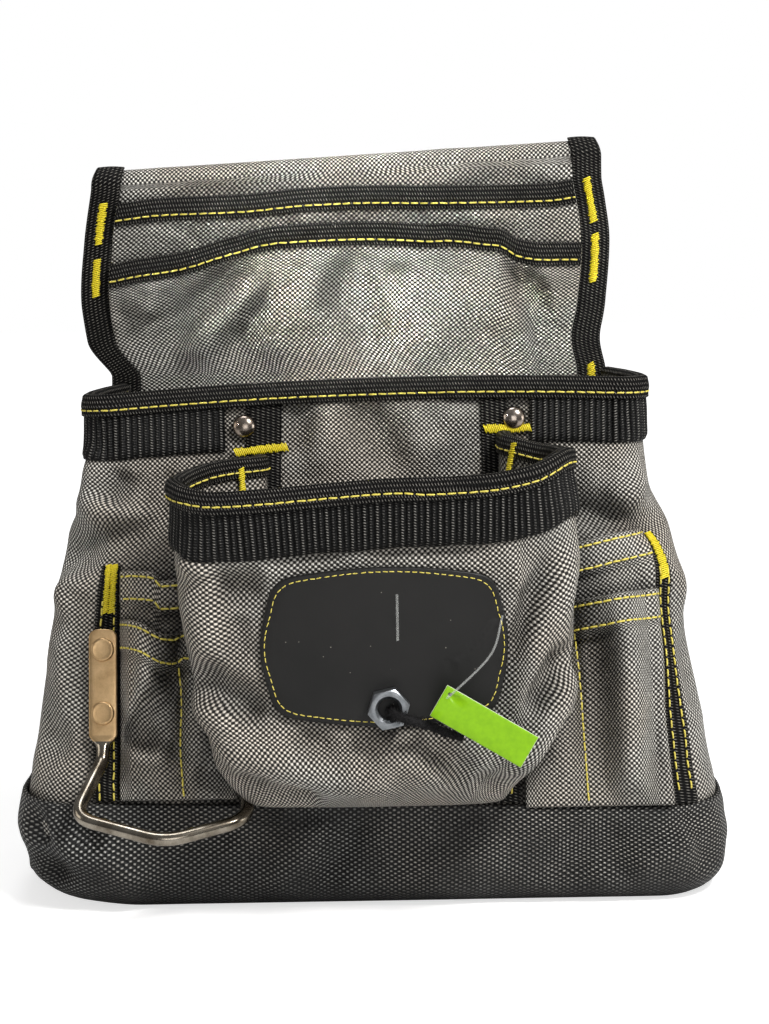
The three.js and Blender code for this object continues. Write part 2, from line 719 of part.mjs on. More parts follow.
function pocket(u, v) {
  const side = u < 1 ? -1 : 1;
  const w = side < 0 ? u : pocketLast - u;
  const z = lerp(pocketFootHeight, pocketRimZ(u), v);
  const top = clamp01(v);
  const belly = Math.sqrt(1 - (1 - Math.min(1, top / bellyShare)) ** 2);
  const full = lerp(pocketBellyDepth, pocketRimDepth, curve(pocketDepthShares, top));
  const depth = lerp(pocketFootDepth, full, belly);
  const attach = side < 0
    ? lerp(pocketAttachFootLeft, pocketAttachTopLeft, top * top)
    : lerp(pocketAttachFootRight, pocketAttachTopRight, top * top);
  const half = pocketHalfWidth * curve(side < 0 ? pocketLeftShares : pocketRightShares, top);
  const out = along(planOutShares, w);
  const x = w < turnShare ? lerp(attach, half, out) : half * out;
  const wallY = wallSizes(z).frontY - pocketStand;
  return new THREE.Vector3(side * x, wallY - depth * along(planDepthShares, w), z);
}

const onPocket = (u, v, d) => {
  const du = 0.002;
  const dv = 0.002;
  const low = Math.max(0, u - du);
  const high = Math.min(pocketLast, u + du);
  const acrossWay = pocket(high, v).sub(pocket(low, v));
  const vLow = Math.max(0, v - dv);
  const upWay = pocket(u, vLow + 2 * dv).sub(pocket(u, vLow));
  return pocket(u, v).addScaledVector(acrossWay.cross(upWay).normalize(), d);
};

const halfStops = steps(14);
const pocketStops = [...halfStops.slice(0, -1), ...halfStops.map((s) => 1 + s)];
const trimStops = [halfStops[1] / 4, ...pocketStops.slice(1, -1), pocketLast - halfStops[1] / 4];
const pocketRows = [0, 0.012, 0.04, 0.09, 0.16, 0.24, 0.34, 0.5, 0.68, 0.86, 1];
const pocketRise = (u, dz) => dz / (pocketRimZ(u) - pocketFootHeight);

function frontPocketWall() {
  const place = (i, j, face) => onPocket(pocketStops[i], pocketRows[j], face ? 0 : -cloth);
  const sides = shell(place, pocketStops.length - 1, pocketRows.length - 1);
  const plan = pocketStops.map((u) => onPocket(u, pocketRows[1], -cloth / 2));
  const outline = plan.map((p) => new THREE.Vector2(p.x, p.y));
  const rings = [0, cloth].map((rise) => plan.map((p) => new THREE.Vector3(p.x, p.y, pocketFootHeight + rise)));
  return join(sides, loft(rings, outline));
}

function frontPocketWebbing() {
  const rows = 2;
  const place = (i, j, face) => {
    const v = 1 + pocketRise(trimStops[i], -webbingWidth * (1 - j / rows));
    return onPocket(trimStops[i], v, seam + (face ? webbingThickness : 0));
  };
  return shell(place, trimStops.length - 1, rows);
}

function frontPocketBinding() {
  const at = (i, d, rise) => onPocket(trimStops[i], 1 + pocketRise(trimStops[i], rise), d);
  return edgeBinding(at, trimStops.length - 1, () => overWebbing, cloth, bindingWidth);
}

// A point on the front of the pocket at a given x and height, d outside its cloth.
function pocketAt(x, z, d) {
  let v = heightShare(z, pocketFootHeight, pocketRimHeight);
  let u = 1;
  const from = turnShare + halfStops[1];
  for (let i = 0; i < 4; i += 1) {
    u = solve((s) => pocket(s, v).x, x, from, pocketLast - from);
    v = heightShare(z, pocketFootHeight, pocketRimZ(u));
  }
  return onPocket(u, v, d);
}

// Patch, and what is sewn in behind the pocket's front
function patchOutline(inset) {
  const halfX = patchWidth / 2 - inset;
  const halfZ = patchHeight / 2 - inset;
  const cornerX = halfX - patchBarrel;
  const cornerZ = halfZ - patchBarrel;
  const shape = new THREE.Shape();
  shape.moveTo(-cornerX + patchCorner, -cornerZ);
  shape.quadraticCurveTo(0, -halfZ - patchBarrel, cornerX - patchCorner, -cornerZ);
  shape.quadraticCurveTo(cornerX, -cornerZ, cornerX, -cornerZ + patchCorner);
  shape.quadraticCurveTo(halfX + patchBarrel, 0, cornerX, cornerZ - patchCorner);
  shape.quadraticCurveTo(cornerX, cornerZ, cornerX - patchCorner, cornerZ);
  shape.quadraticCurveTo(0, halfZ + patchBarrel, -cornerX + patchCorner, cornerZ);
  shape.quadraticCurveTo(-cornerX, cornerZ, -cornerX, cornerZ - patchCorner);
  shape.quadraticCurveTo(-halfX - patchBarrel, 0, -cornerX, -cornerZ + patchCorner);
  shape.quadraticCurveTo(-cornerX, -cornerZ, -cornerX + patchCorner, -cornerZ);
  return shape;
}

// A piece of the pocket's own curve between two offsets, trimmed to the patch's outline.
function pocketLayer(inner, outer, inset) {
  const stops = pocketStops.filter((u) => u > turnShare && u < pocketLast - turnShare);
  const rows = pocketRows.filter((v) => v > bellyShare / 2 && v < 1);
  const place = (i, j, face) => onPocket(stops[i], rows[j], face ? outer : inner);
  const depth = pocketRimDepth * 2;
  const prism = new THREE.ExtrudeGeometry(patchOutline(inset), { depth, bevelEnabled: false, curveSegments: 5 });
  prism.rotateX(Math.PI / 2);
  prism.translate(patchX, 0, patchZ);
  return common(shell(place, stops.length - 1, rows.length - 1), prism);
}

const magnetPlaces = [-1, 0, 1].map((k) => [k * magnetPitchX, -magnetPitchZ / 2 - magnetRowDrop])
  .concat([-1, 1].map((k) => [(k * magnetPitchX) / 2, magnetPitchZ / 2 - magnetRowDrop]));
const carrierOuter = -cloth - seam;
const carrierInner = carrierOuter - carrierThickness;
const magnetSeat = (x, z) => seat((d) => pocketAt(patchX + x, patchZ + z, carrierOuter - carrierThickness / 2 + d));

function disc(radius, height, sides = 16) {
  return new THREE.CylinderGeometry(radius, radius, height, sides).rotateX(Math.PI / 2);
}

function magnetCarrier() {
  const blank = pocketLayer(carrierInner, carrierOuter, carrierInset);
  const hole = disc(magnetDiameter / 2 + seam, carrierThickness + cutOverrun);
  return cut(blank, ...magnetPlaces.map(([x, z]) => hole.clone().applyMatrix4(magnetSeat(x, z))));
}

// Rivets: a head, a shank through the layers and a washer behind, all turned as one.
function rivet(headHeight, domed, grip) {
  const head = rivetHeadDiameter / 2;
  const shank = rivetShankDiameter / 2;
  const washer = rivetWasherDiameter / 2;
  const back = -grip - rivetWasherThickness;
  const profile = [[0, back], [washer, back], [washer, -grip], [shank, -grip], [shank, 0], [head, 0]];
  if (domed) {
    for (const s of steps(4).slice(1)) {
      const angle = (Math.PI / 2) * s;
      profile.push([head * Math.cos(angle), headHeight * Math.sin(angle)]);
    }
  } else {
    profile.push([head, headHeight - seam], [head - seam, headHeight], [0, headHeight]);
  }
  profile[profile.length - 1][0] = 0;
  const points = profile.map(([x, y]) => new THREE.Vector2(x, y));
  return new THREE.LatheGeometry(points, 14).rotateX(Math.PI / 2);
}

const shankHole = () => disc(rivetShankDiameter / 2 + holeClearance, pocketRimDepth / 2, 10);
const rimRivetZ = (x) => rimZ(wallU(x, rimHeight)) - bindingWidth - rivetHeadDiameter / 2 - seam;
const rimRivetSeat = (x) => seat((d) => onWall(wallU(x, rimRivetZ(x)), rimRivetZ(x), seam + tapeThickness + seam + d));
const rimRivetSeats = [rimRivetSeat(-rimRivetLeft), rimRivetSeat(rimRivetRight)];
const rimRivetGrip = seam + tapeThickness + seam + cloth + seam;

// Hammer loop: one bent wire whose flattened ends are riveted over the two left tapes.
const plateStand = seam + tapeThickness + 2 * seam;
const plateMiddleZ = plateTopHeight - plateLength / 2;
const plateSeat = (x) => seat((d) => onWall(wallU(-x, plateMiddleZ), plateMiddleZ, plateStand + d));
const plateSeats = [plateSeat(plateLeftX), plateSeat(plateRightX)];
const rivetAlong = plateLength / 2 - plateRivetInset;
const loopRivetSeats = plateSeats.flatMap((matrix) => [rivetAlong, -rivetAlong].map((y) => {
  return matrix.clone().multiply(new THREE.Matrix4().makeTranslation(0, y, plateThickness + seam));
}));
const loopRivetGrip = seam + plateThickness + plateStand + cloth + 2 * seam;

function plate(matrix) {
  const half = plateWidth / 2;
  const top = plateLength / 2;
  const neck = wireDiameter / 2;
  const shape = new THREE.Shape();
  shape.moveTo(-neck, -top - shoulderLength);
  shape.lineTo(neck, -top - shoulderLength);
  shape.lineTo(half, -top);
  shape.lineTo(half, top - plateThickness);
  shape.quadraticCurveTo(half, top, half - plateThickness, top);
  shape.lineTo(-half + plateThickness, top);
  shape.quadraticCurveTo(-half, top, -half, top - plateThickness);
  shape.lineTo(-half, -top);
  const body = new THREE.ExtrudeGeometry(shape, { depth: plateThickness, bevelEnabled: false, curveSegments: 3 });
  const hole = disc(rivetShankDiameter / 2 + holeClearance, plateThickness + cutOverrun, 10);
  const holes = [rivetAlong, -rivetAlong].map((y) => hole.clone().translate(0, y, 0));
  return cut(body, ...holes).applyMatrix4(matrix);
}

// A path of straight runs with rounded bends through a list of corner points.
function bentPath(corners, radius) {
  const path = new THREE.CurvePath();
  let start = corners[0];
  for (let i = 1; i + 1 < corners.length; i += 1) {
    const corner = corners[i];
    const before = corners[i - 1].clone().sub(corner);
    const after = corners[i + 1].clone().sub(corner);
    const bend = Math.min(radius, before.length() / 2, after.length() / 2);
    const enter = corner.clone().addScaledVector(before.normalize(), bend);
    const leave = corner.clone().addScaledVector(after.normalize(), bend);
    path.add(new THREE.LineCurve3(start, enter));
    path.add(new THREE.QuadraticBezierCurve3(enter, corner, leave));
    start = leave;
  }
  path.add(new THREE.LineCurve3(start, corners[corners.length - 1]));
  return path;
}

function tube(path, diameter, sides, count) {
  const points = steps(sides).slice(0, -1).map((s) => {
    return new THREE.Vector2(Math.cos(2 * Math.PI * s), Math.sin(2 * Math.PI * s)).multiplyScalar(diameter / 2);
  });
  return new THREE.ExtrudeGeometry(new THREE.Shape(points), { steps: count, bevelEnabled: false, extrudePath: path });
}

function hammerLoop() {
  const at = (x, y, z) => new THREE.Vector3(-x, -y, z);
  const againstWall = (x, z) => onWall(wallU(-x, z), z, plateStand + wireDiameter / 2);
  const shoulderZ = plateMiddleZ - plateLength / 2 - shoulderLength / 2;
  const corners = [
    againstWall(plateLeftX, shoulderZ), againstWall(plateLeftX, loopDropLeft),
    at(loopLeftX, loopReach, loopLeftHeight),
    at(loopVeeX, loopVeeReach, loopVeeHeight),
    at(loopRightX, loopReach, loopRightHeight),
    againstWall(loopRightX, loopDropRight), againstWall(plateRightX, shoulderZ),
  ];
  const wire = tube(bentPath(corners, loopBend), wireDiameter, 8, 48);
  return join(plate(plateSeats[0]), plate(plateSeats[1]), wire);
}

// Hex nut held to the patch by the magnet behind it
const patchFace = seam + patchThickness;
const nutSeat = seat((d) => pocketAt(nutX, nutZ, patchFace + nutStand + d), THREE.MathUtils.degToRad(nutTurn));

function demoNut() {
  const corner = nutAcrossFlats / 2 / Math.cos(Math.PI / 6);
  const hex = new THREE.CylinderGeometry(corner, corner, nutThickness, 6).rotateX(Math.PI / 2);
  hex.translate(0, 0, nutThickness / 2);
  const face = nutAcrossFlats / 2;
  const slope = corner - face + nutChamfer;
  const bore = nutBore / 2;
  const turned = [[bore, nutChamfer], [bore + nutChamfer, 0], [face, 0], [face + slope, slope / 2],
    [face + slope, nutThickness - slope / 2], [face, nutThickness], [bore + nutChamfer, nutThickness],
    [bore, nutThickness - nutChamfer], [bore, nutChamfer]];
  const ring = new THREE.LatheGeometry(turned.map(([x, y]) => new THREE.Vector2(x, y)), 18).rotateX(Math.PI / 2);
  return common(hex, ring);
}

// Cord from the nut's bore over its rim and away under the tag: points in the nut's own frame,
// x to the right, y up and z out from the patch, chosen by hand.
const cordRoute = [[1.5, -1.2, 1.9], [1.5, -1.3, 5], [1.7, -1.4, 8.6], [3.4, -2.2, 11.6], [7, -3.4, 12.2],
  [10.8, -4.7, 10.4], [14.2, -6.1, 8], [17.6, -7.6, 6.4], [21.2, -9.2, 5.4], [24.8, -10.6, 4.8], [28.2, -11.6, 4.2]];

function nutCord() {
  const frame = seat((d) => pocketAt(nutX, nutZ, patchFace + nutStand + d));
  const points = cordRoute.map(([x, y, z]) => new THREE.Vector3(x, y, z).applyMatrix4(frame));
  return tube(new THREE.CatmullRomCurve3(points), cordDiameter, 8, 24);
}

// Hang tag on its clear filament
const tagAngle = THREE.MathUtils.degToRad(-tagTilt);
const tagFrame = seat((d) => pocketAt(patchX, nutZ, patchFace + tagStandoff + d))
  .setPosition(tagX, pocketAt(patchX, nutZ, patchFace + tagStandoff).y, tagZ)
  .multiply(new THREE.Matrix4().makeRotationZ(tagAngle));
const tagCorner = [-tagLength / 2 + tagHoleInset, tagWidth / 2 - tagHoleInset];

function hangTag() {
  const body = new THREE.BoxGeometry(tagLength, tagWidth, tagThickness);
  const hole = disc(filamentDiameter / 2 + seam, tagThickness + cutOverrun, 8).translate(...tagCorner, 0);
  return cut(body, hole).applyMatrix4(tagFrame);
}

function tagFilament() {
  const end = pocketAt(filamentX, filamentZ, patchFace + seam + filamentDiameter / 2);
  const hole = new THREE.Vector3(...tagCorner, 0).applyMatrix4(tagFrame);
  const behind = hole.clone().add(new THREE.Vector3(0, filamentDiameter * 2, 0));
  const front = hole.clone().add(new THREE.Vector3(0, -filamentDiameter * 2, 0));
  const sag = lerp(hole.x, end.x, 3 / 4);
  const middle = new THREE.Vector3(sag, lerp(front.y, end.y, 1 / 2), lerp(hole.z, end.z, 1 / 2));
  const path = new THREE.CatmullRomCurve3([behind, front, middle, end]);
  return tube(path, filamentDiameter, 6, 20);
}

function tagTack() {
  const ends = [-1, 1].map((s) => {
    return pocketAt(tackX, tackZ + (s * tackLength) / 2, patchFace + seam + tackDiameter / 2);
  });
  return tube(new THREE.LineCurve3(...ends), tackDiameter, 8, 1);
}

// Finishes
const finish = (color, roughness, metalness = 0) => new THREE.MeshStandardMaterial({ color, roughness, metalness });
const greyCloth = finish(0x77726b, 0.75);
const blackCloth = finish(0x2c2b29, 0.8);
const blackTrim = finish(0x1b1b1a, 0.85);
const patchFinish = finish(0x2b2b2a, 0.45);
const steel = finish(0xb9b2a6, 0.25, 1);
const zinc = finish(0xa9adb0, 0.35, 1);
const magnetFinish = finish(0x8f9092, 0.3, 1);
const foam = finish(0x3a3a3a, 0.9);
const green = finish(0x9bdc1c, 0.5);
const nylon = finish(0xd8dad6, 0.2);
const fuzz = finish(0x161616, 0.95);

const pouch = new THREE.Group();

function add(name, geometry, material, matrix = null) {
  const mesh = new THREE.Mesh(geometry, material);
  mesh.name = name;
  if (matrix) matrix.decompose(mesh.position, mesh.quaternion, mesh.scale);
  pouch.add(mesh);
}

const wallHoles = [...rimRivetSeats, ...loopRivetSeats].map((matrix) => shankHole().applyMatrix4(matrix));
const drilled = (geometry) => cut(geometry, ...wallHoles);

add('main_pocket_wall', drilled(mainPocketWall()), greyCloth);
add('main_rim_binding', mainRimBinding(), blackTrim);
add('rim_webbing_left', rimWebbing(rimEndShare, leftWebbingEnd), blackTrim);
add('rim_webbing_right', rimWebbing(rightWebbingEnd, wallLast - rimEndShare), blackTrim);
const leftInner = innerTapeX(innerTapeTopLeft, innerTapeFootLeft);
const rightInner = innerTapeX(innerTapeTopRight, innerTapeFootRight);
add('inner_tape_left', drilled(wallTape(leftInner, innerTapeWidth, -1, innerTapeHead, 1)), blackTrim);
add('inner_tape_right', drilled(wallTape(rightInner, innerTapeWidth, 1, innerTapeHead, 1)), blackTrim);
add('outer_tape_left', drilled(wallTape(() => outerTapeLeft, outerTapeWidth, -1, outerTapeHeadLeft, 3)), blackTrim);
add('outer_tape_right', wallTape(outerRightX, outerTapeWidth, 1, outerTapeHeadRight, 3), blackTrim);
add('base_panel', basePanel(), blackCloth);
add('back_panel', backPanel(), greyCloth);
add('belt_tunnel', beltTunnel(), greyCloth);
add('panel_binding_left', panelBinding(-1), blackTrim);
add('panel_binding_right', panelBinding(1), blackTrim);
add('upper_sleeve', sleeve(upperSleeveFootHeight, upperTop, upperStand), greyCloth);
add('upper_sleeve_binding', sleeveBinding(upperTop, upperStand), blackTrim);
add('lower_sleeve', sleeve(lowerSleeveFootHeight, lowerTop, lowerStand), greyCloth);
add('lower_sleeve_binding', sleeveBinding(lowerTop, lowerStand), blackTrim);
for (const [name, side] of [['left', -1], ['right', 1]]) {
  const tilt = (top) => (share) => top + tierRiseHeight * (share - dividerShare);
  add(`${name}_rear_tool_pocket`, toolPocket(side, rearShares, tilt(rearTop(side)), rearOffset), greyCloth);
  add(`${name}_front_tool_pocket`, toolPocket(side, frontShares, tilt(frontTop(side)), frontOffset), greyCloth);
}
add('front_pocket_wall', frontPocketWall(), greyCloth);
add('front_pocket_webbing', frontPocketWebbing(), blackTrim);
add('front_pocket_binding', frontPocketBinding(), blackTrim);
add('magnet_patch', pocketLayer(seam, seam + patchThickness, 0), patchFinish);
add('magnet_carrier', magnetCarrier(), foam);
add('magnet_liner', pocketLayer(carrierInner - seam - linerThickness, carrierInner - seam, 0), greyCloth);
magnetPlaces.forEach(([x, z], i) => {
  add(`magnet_${i + 1}`, disc(magnetDiameter / 2, magnetThickness), magnetFinish, magnetSeat(x, z));
});
rimRivetSeats.forEach((matrix, i) => {
  add(`rim_rivet_${['left', 'right'][i]}`, rivet(rivetDome, true, rimRivetGrip), steel, matrix);
});
add('hammer_loop', hammerLoop(), steel);
loopRivetSeats.forEach((matrix, i) => {
  add(`hammer_loop_rivet_${i + 1}`, rivet(loopRivetHead, false, loopRivetGrip), steel, matrix);
});
add('demo_nut', demoNut(), zinc, nutSeat);
add('nut_cord', nutCord(), fuzz);
add('hang_tag', hangTag(), green);
add('tag_filament', tagFilament(), nylon);
add('tag_tack', tagTack(), nylon);

export default pouch;
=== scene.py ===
"""Looks of the magnetic tool pouch: cloth, trims, stitches, metal, nut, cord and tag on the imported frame.

Geometry is worked out in millimetres, in the frame of the CAD model, on the same host surfaces as its
solids: the main pocket's wall, the front pocket's wall, the back panel and the base.
"""
import bpy
import math
import numpy as np
from mathutils import Matrix, Vector


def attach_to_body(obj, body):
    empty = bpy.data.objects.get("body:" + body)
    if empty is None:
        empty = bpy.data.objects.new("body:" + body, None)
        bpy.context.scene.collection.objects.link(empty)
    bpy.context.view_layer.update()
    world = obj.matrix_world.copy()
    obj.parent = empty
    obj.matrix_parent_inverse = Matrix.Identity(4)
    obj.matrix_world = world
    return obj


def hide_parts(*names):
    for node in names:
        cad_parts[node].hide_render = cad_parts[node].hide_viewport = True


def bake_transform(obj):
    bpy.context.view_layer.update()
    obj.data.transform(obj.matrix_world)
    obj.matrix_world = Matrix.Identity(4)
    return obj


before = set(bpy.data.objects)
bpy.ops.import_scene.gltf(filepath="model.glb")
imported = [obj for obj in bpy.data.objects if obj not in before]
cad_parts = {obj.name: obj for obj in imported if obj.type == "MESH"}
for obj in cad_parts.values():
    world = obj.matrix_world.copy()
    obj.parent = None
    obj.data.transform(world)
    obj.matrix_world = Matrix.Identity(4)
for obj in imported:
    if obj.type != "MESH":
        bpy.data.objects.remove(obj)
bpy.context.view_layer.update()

MM = 0.001
SIDES = {-1: "left", 1: "right"}

# Camera of the photograph, a frame of 769 by 1024 pixels
PHOTO = (769, 1024)
FOCAL_PX = 2150.0
CENTRE_PX = (372.0, 500.0)
CAMERA_DISTANCE = 900.0
CAMERA_ELEVATION = math.radians(9)
CAMERA_ROLL = math.radians(-1)
AIM_HEIGHT = 160.0

# Cloth and trims
CLOTH = 1.6
BASE_CLOTH = 2.0
PANEL_CLOTH = 2.0
TAPE = 1.4
WEBBING = 1.5
BINDING = 1.1
BINDING_WIDTH = 11.0
SLEEVE_BINDING_WIDTH = 10.0
WEBBING_WIDTH = 25.4
SEAM = 0.35
RIB_PITCH, RIB_DEPTH = 2.4, 0.8

# Main pocket
RIM_WIDTH, SEAM_WIDTH = 234.0, 290.0
RIM_Z, SEAM_Z, SEAM_DROP, SEAM_OVERLAP = 210.6, 42.5, 3.0, 12.0
RIM_CROWN, RIM_RISE = 3.8, 1.9
MOUTH_DEPTH, SEAM_DEPTH = 46.0, 88.0
RIM_CORNER, SEAM_CORNER = 14.0, 26.0
RIM_TUCK, SEAM_TUCK = 12.5, 5.0
RIM_END_SHARE = 0.06
PANEL_Y = 40.0
REAR_EDGE_Y = PANEL_Y - SEAM - BINDING - SEAM
WALL_WIDTH_SHARES = ((0, 0), (0.22, 0.21), (0.38, 0.37), (0.53, 0.5), (0.62, 0.6), (0.73, 0.9), (0.82, 0.96),
                     (1, 1), (1.1, 1))
WALL_DEPTH_SHARES = ((0, 0), (0.25, 0.27), (0.5, 0.55), (0.75, 0.8), (1, 1), (1.1, 1.04))
WEBBING_INNER = {-1: 61.0, 1: 68.0}
WALL_LAST = 5.0
RIGHT_DRAW = 4.2

# Base
BASE_RADIUS, BASE_BACK_RADIUS, BASE_BULGE = 13.0, 3.4, 3.2
CORNER_DENT, CORNER_CURL = 4.5, {-1: 5.0, 1: 1.0}
DENT_X, DENT_Y, DENT_REACH_X, DENT_REACH_Y = 147.0, 28.0, 15.0, 24.0

# Back panel, belt tunnel and sleeves
PANEL_Z, PANEL_RISE = 303.0, 5.0
FLARE_LEFT, DRAW_RIGHT = 17.5, 6.0
LEFT_SHARES = ((0, 0.34), (0.18, 0.92), (0.42, 1.02), (0.72, 0.9), (1, 0.68))
RIGHT_SHARES = ((0, 0.6), (0.16, 1), (0.36, 0.6), (0.68, 0.3), (1, 0.9))
TUNNEL_GAP, TUNNEL_DROP, TUNNEL_TAPER, TUNNEL_FLANGE = 9.0, 82.0, 9.0, 12.0
FOLD_RADIUS = TUNNEL_GAP / 2 + PANEL_CLOTH
UPPER_TOP, UPPER_RISE, UPPER_FOOT, UPPER_BULGE = 288.6, 1.4, 237.0, 8.5
LOWER_TOP, LOWER_RISE, LOWER_ARCH, LOWER_FOOT, LOWER_BULGE = 261.3, 2.2, 11.8, 188.0, 12.0
SLEEVE_STEP, SLEEVE_INSET, SLEEVE_REACH_SHARE = 10.0, 2.6, 0.022
ARCH_SHARES = ((-1, 0), (-0.72, 0.3), (-0.42, 0.9), (0, 1), (0.4, 0.82), (0.64, 0.12), (1, 0))
UPPER_LIFTS = ((-1, -4.5), (-0.8, -2.6), (-0.46, -2.2), (-0.15, -0.2), (0.05, 0), (0.4, -1.1), (0.87, -1.7),
               (1, -0.5))
LOWER_LIFTS = ((-1, -2.3), (-0.86, -1.4), (-0.6, -1.8), (-0.46, -1.6), (-0.38, 0.1), (-0.28, 1.0),
               (0.14, 0.7), (0.34, 0.2), (0.44, 1.4), (0.535, 4.1), (0.635, 6.0), (0.73, 1.3), (0.83, -0.2),
               (1, -0.4))

# Tapes on the front of the main pocket: width, distance from the middle at the rim and at the base
INNER_TAPE_WIDTH, OUTER_TAPE_WIDTH = 14.0, 11.0
INNER_TAPE = {-1: (43.5, 48.0), 1: (50.0, 51.7)}
OUTER_TAPE = {-1: (109.3, 109.3), 1: (115.4, 127.5)}
OUTER_HEAD = {-1: 136.0, 1: 143.6}
TAPE_TACK_Z = {-1: 183.5, 1: 190.2}
TAPE_HEAD_LIFT = {-1: 2.0, 1: 3.7}
INNER_TAPE_TUCK = {-1: 0.0, 1: 3.0}
TAPE_DRAW = {-1: ((0, 0), (0.7, 0.5), (1, 3.4)), 1: ((0, 0.8), (0.3, 2.0), (0.6, 5.0), (1, 6.0))}

# Side tool pockets
REAR_TOP = {-1: 134.3, 1: 145.0}
FRONT_TOP = {-1: 111.0, 1: 115.5}
TIER_INNER = {-1: 57.0, 1: 61.0}
TIER_RISE, REAR_BULGE, FRONT_BULGE, DIVIDER_SHARE = 3.0, 12.0, 11.0, 0.46
HEM_WIDTH, HEM_LIFT, HEM_HOLLOW = 11.6, 1.3, 2.2

# Front pocket
POCKET_HALF, POCKET_RIM, POCKET_LIFT = 80.0, 173.6, 14.0
POCKET_RIM_DEPTH, POCKET_BELLY_DEPTH, POCKET_FOOT_DEPTH, POCKET_FOOT_Z = 65.0, 45.0, 13.0, 47.5
POCKET_ATTACH = {-1: (45.0, 40.0), 1: (55.0, 49.0)}
BELLY_SHARE = 0.24
POCKET_STAND = SEAM + TAPE + 2 * SEAM
POCKET_RIM_SHARES = ((0, 0.53), (0.22, 0.5), (0.5, 0), (0.72, -0.3), (1, 0), (1.3, 0.5), (1.5, 1),
                     (1.75, 0.95), (2, 0.89))
POCKET_LEFT_SHARES = ((0, 0.6), (0.05, 0.66), (0.15, 0.795), (0.3, 0.86), (0.65, 0.925), (1, 0.995))
POCKET_RIGHT_SHARES = ((0, 0.61), (0.05, 0.65), (0.14, 0.815), (0.24, 0.925), (0.5, 0.965), (1, 0.985))
POCKET_DEPTH_SHARES = ((0, 0), (0.25, 0), (0.6, 0.4), (1, 1))
PLAN_OUT_SHARES = (0, 0.04, 0.3, 0.75, 1, 0.97, 0.84, 0.62, 0.34, 0)
PLAN_DEPTH_SHARES = (0, 0.15, 0.27, 0.42, 0.62, 0.8, 0.92, 0.97, 0.99, 1)
PLAN_TURN = 4
POCKET_LAST = 2.0
POCKET_MOUTH_TUCK = 0.045
POCKET_RIM_LIFTS = ((0, 0), (0.2, 0.8), (0.333, 2.0), (0.5, 4.0), (0.667, 5.2), (0.8, 5.8), (1, 5.5),
                    (1.111, 3.7), (1.222, 2.2), (1.4, 1.8), (1.556, -0.8), (1.667, -0.8), (1.8, 1.0),
                    (2, 3.0))
RIM_LEG, POCKET_LEG, SLEEVE_LEG = 7.8, 6.8, 8.2

# Patch and the magnets behind it
PATCH_WIDTH, PATCH_HEIGHT, PATCH_BARREL, PATCH_CORNER, PATCH = 94.0, 62.6, 3.0, 13.0, 2.0
PATCH_X, PATCH_Z, PATCH_REACH = 4.8, 116.0, 2.0
CARRIER, CARRIER_INSET, LINER = 4.2, 6.0, 1.2

# Rivets and hammer loop
RIVET_HEAD, RIVET_DOME, LOOP_RIVET_HEAD = 9.4, 2.6, 1.6
RIVET_SHANK, RIVET_WASHER, WASHER_THICKNESS = 4.0, 9.0, 1.0
RIM_RIVET = {-1: 52.0, 1: 60.0}
WIRE = 5.5
PLATE_WIDTH, PLATE_LENGTH, PLATE, PLATE_TOP, SHOULDER = 11.5, 42.5, 2.5, 113.5, 7.0
PLATE_X = (110.4, 48.2)
PLATE_RIVET_INSET = 8.4
PLATE_STAND = POCKET_STAND
LOOP_DROP = (62.0, 53.0)
LOOP_REACH, LOOP_VEE_REACH = 75.0, 85.0
LOOP_X = (119.0, 82.7, 51.5)
LOOP_Z = (47.7, 40.5, 45.6)
LOOP_BEND = 8.0

# Nut, cord and hang tag
NUT_FLATS, NUT_THICKNESS, NUT_BORE, NUT_CHAMFER, NUT_TURN, NUT_STAND = 14.3, 8.3, 8.6, 0.9, 12.0, 0.7
NUT_X, NUT_Z = 4.8, 92.6
CORD = 3.4
CORD_ROUTE = ((1.5, -1.2, 1.9), (1.5, -1.3, 5), (1.7, -1.4, 8.6), (3.4, -2.2, 11.6), (7, -3.4, 12.2),
              (10.8, -4.7, 10.4), (14.2, -6.1, 8), (17.6, -7.6, 6.4), (21.2, -9.2, 5.4), (24.8, -10.6, 4.8),
              (28.2, -11.6, 4.2))
TAG_LENGTH, TAG_WIDTH, TAG_THICKNESS, TAG_TILT, TAG_X, TAG_Z = 40.0, 13.4, 1.2, 31.0, 41.0, 88.0
TAG_STANDOFF, TAG_HOLE_INSET = 13.0, 2.6
FILAMENT, FILAMENT_X, FILAMENT_Z = 0.9, 49.0, 127.0
TACK_LENGTH, TACK, TACK_X, TACK_Z = 18.0, 1.1, 8.8, 127.5

# Folds, each a soft ridge or valley between two pixels of the photograph: x, y, x, y, then its half
# width and its height in millimetres, a valley's height being negative
PANEL_FOLDS_PX = (
    (160, 165, 170, 195, 14, 0.8), (215, 165, 205, 195, 12, -0.8), (430, 150, 450, 185, 16, 0.9),
    (480, 148, 500, 180, 10, -0.9), (300, 160, 300, 190, 16, 0.6), (560, 150, 545, 180, 10, 0.8),
)
UPPER_FOLDS_PX = (
    (190, 215, 180, 235, 5, -0.8), (300, 205, 310, 228, 6, 0.8), (500, 205, 480, 230, 5, 1.0),
    (420, 205, 425, 225, 4, -0.6),
)
LOWER_FOLDS_PX = (
    (236, 272, 162, 344, 5, -2.4), (256, 276, 186, 350, 6, 1.8), (117, 315, 150, 345, 4, -2.2),
    (120, 300, 150, 312, 4, 1.6), (347, 271, 376, 360, 7, -2.4), (306, 275, 262, 350, 8, 1.6),
    (415, 285, 440, 350, 9, 0.8), (470, 280, 540, 352, 7, 0.9), (517, 267, 547, 337, 4, -1.8),
    (540, 262, 575, 300, 4, 1.6), (561, 330, 561, 345, 5, -2.5), (290, 272, 232, 350, 5, -1.4),
    (160, 270, 140, 290, 4, 1.4), (395, 270, 402, 300, 4, -1.0),
)
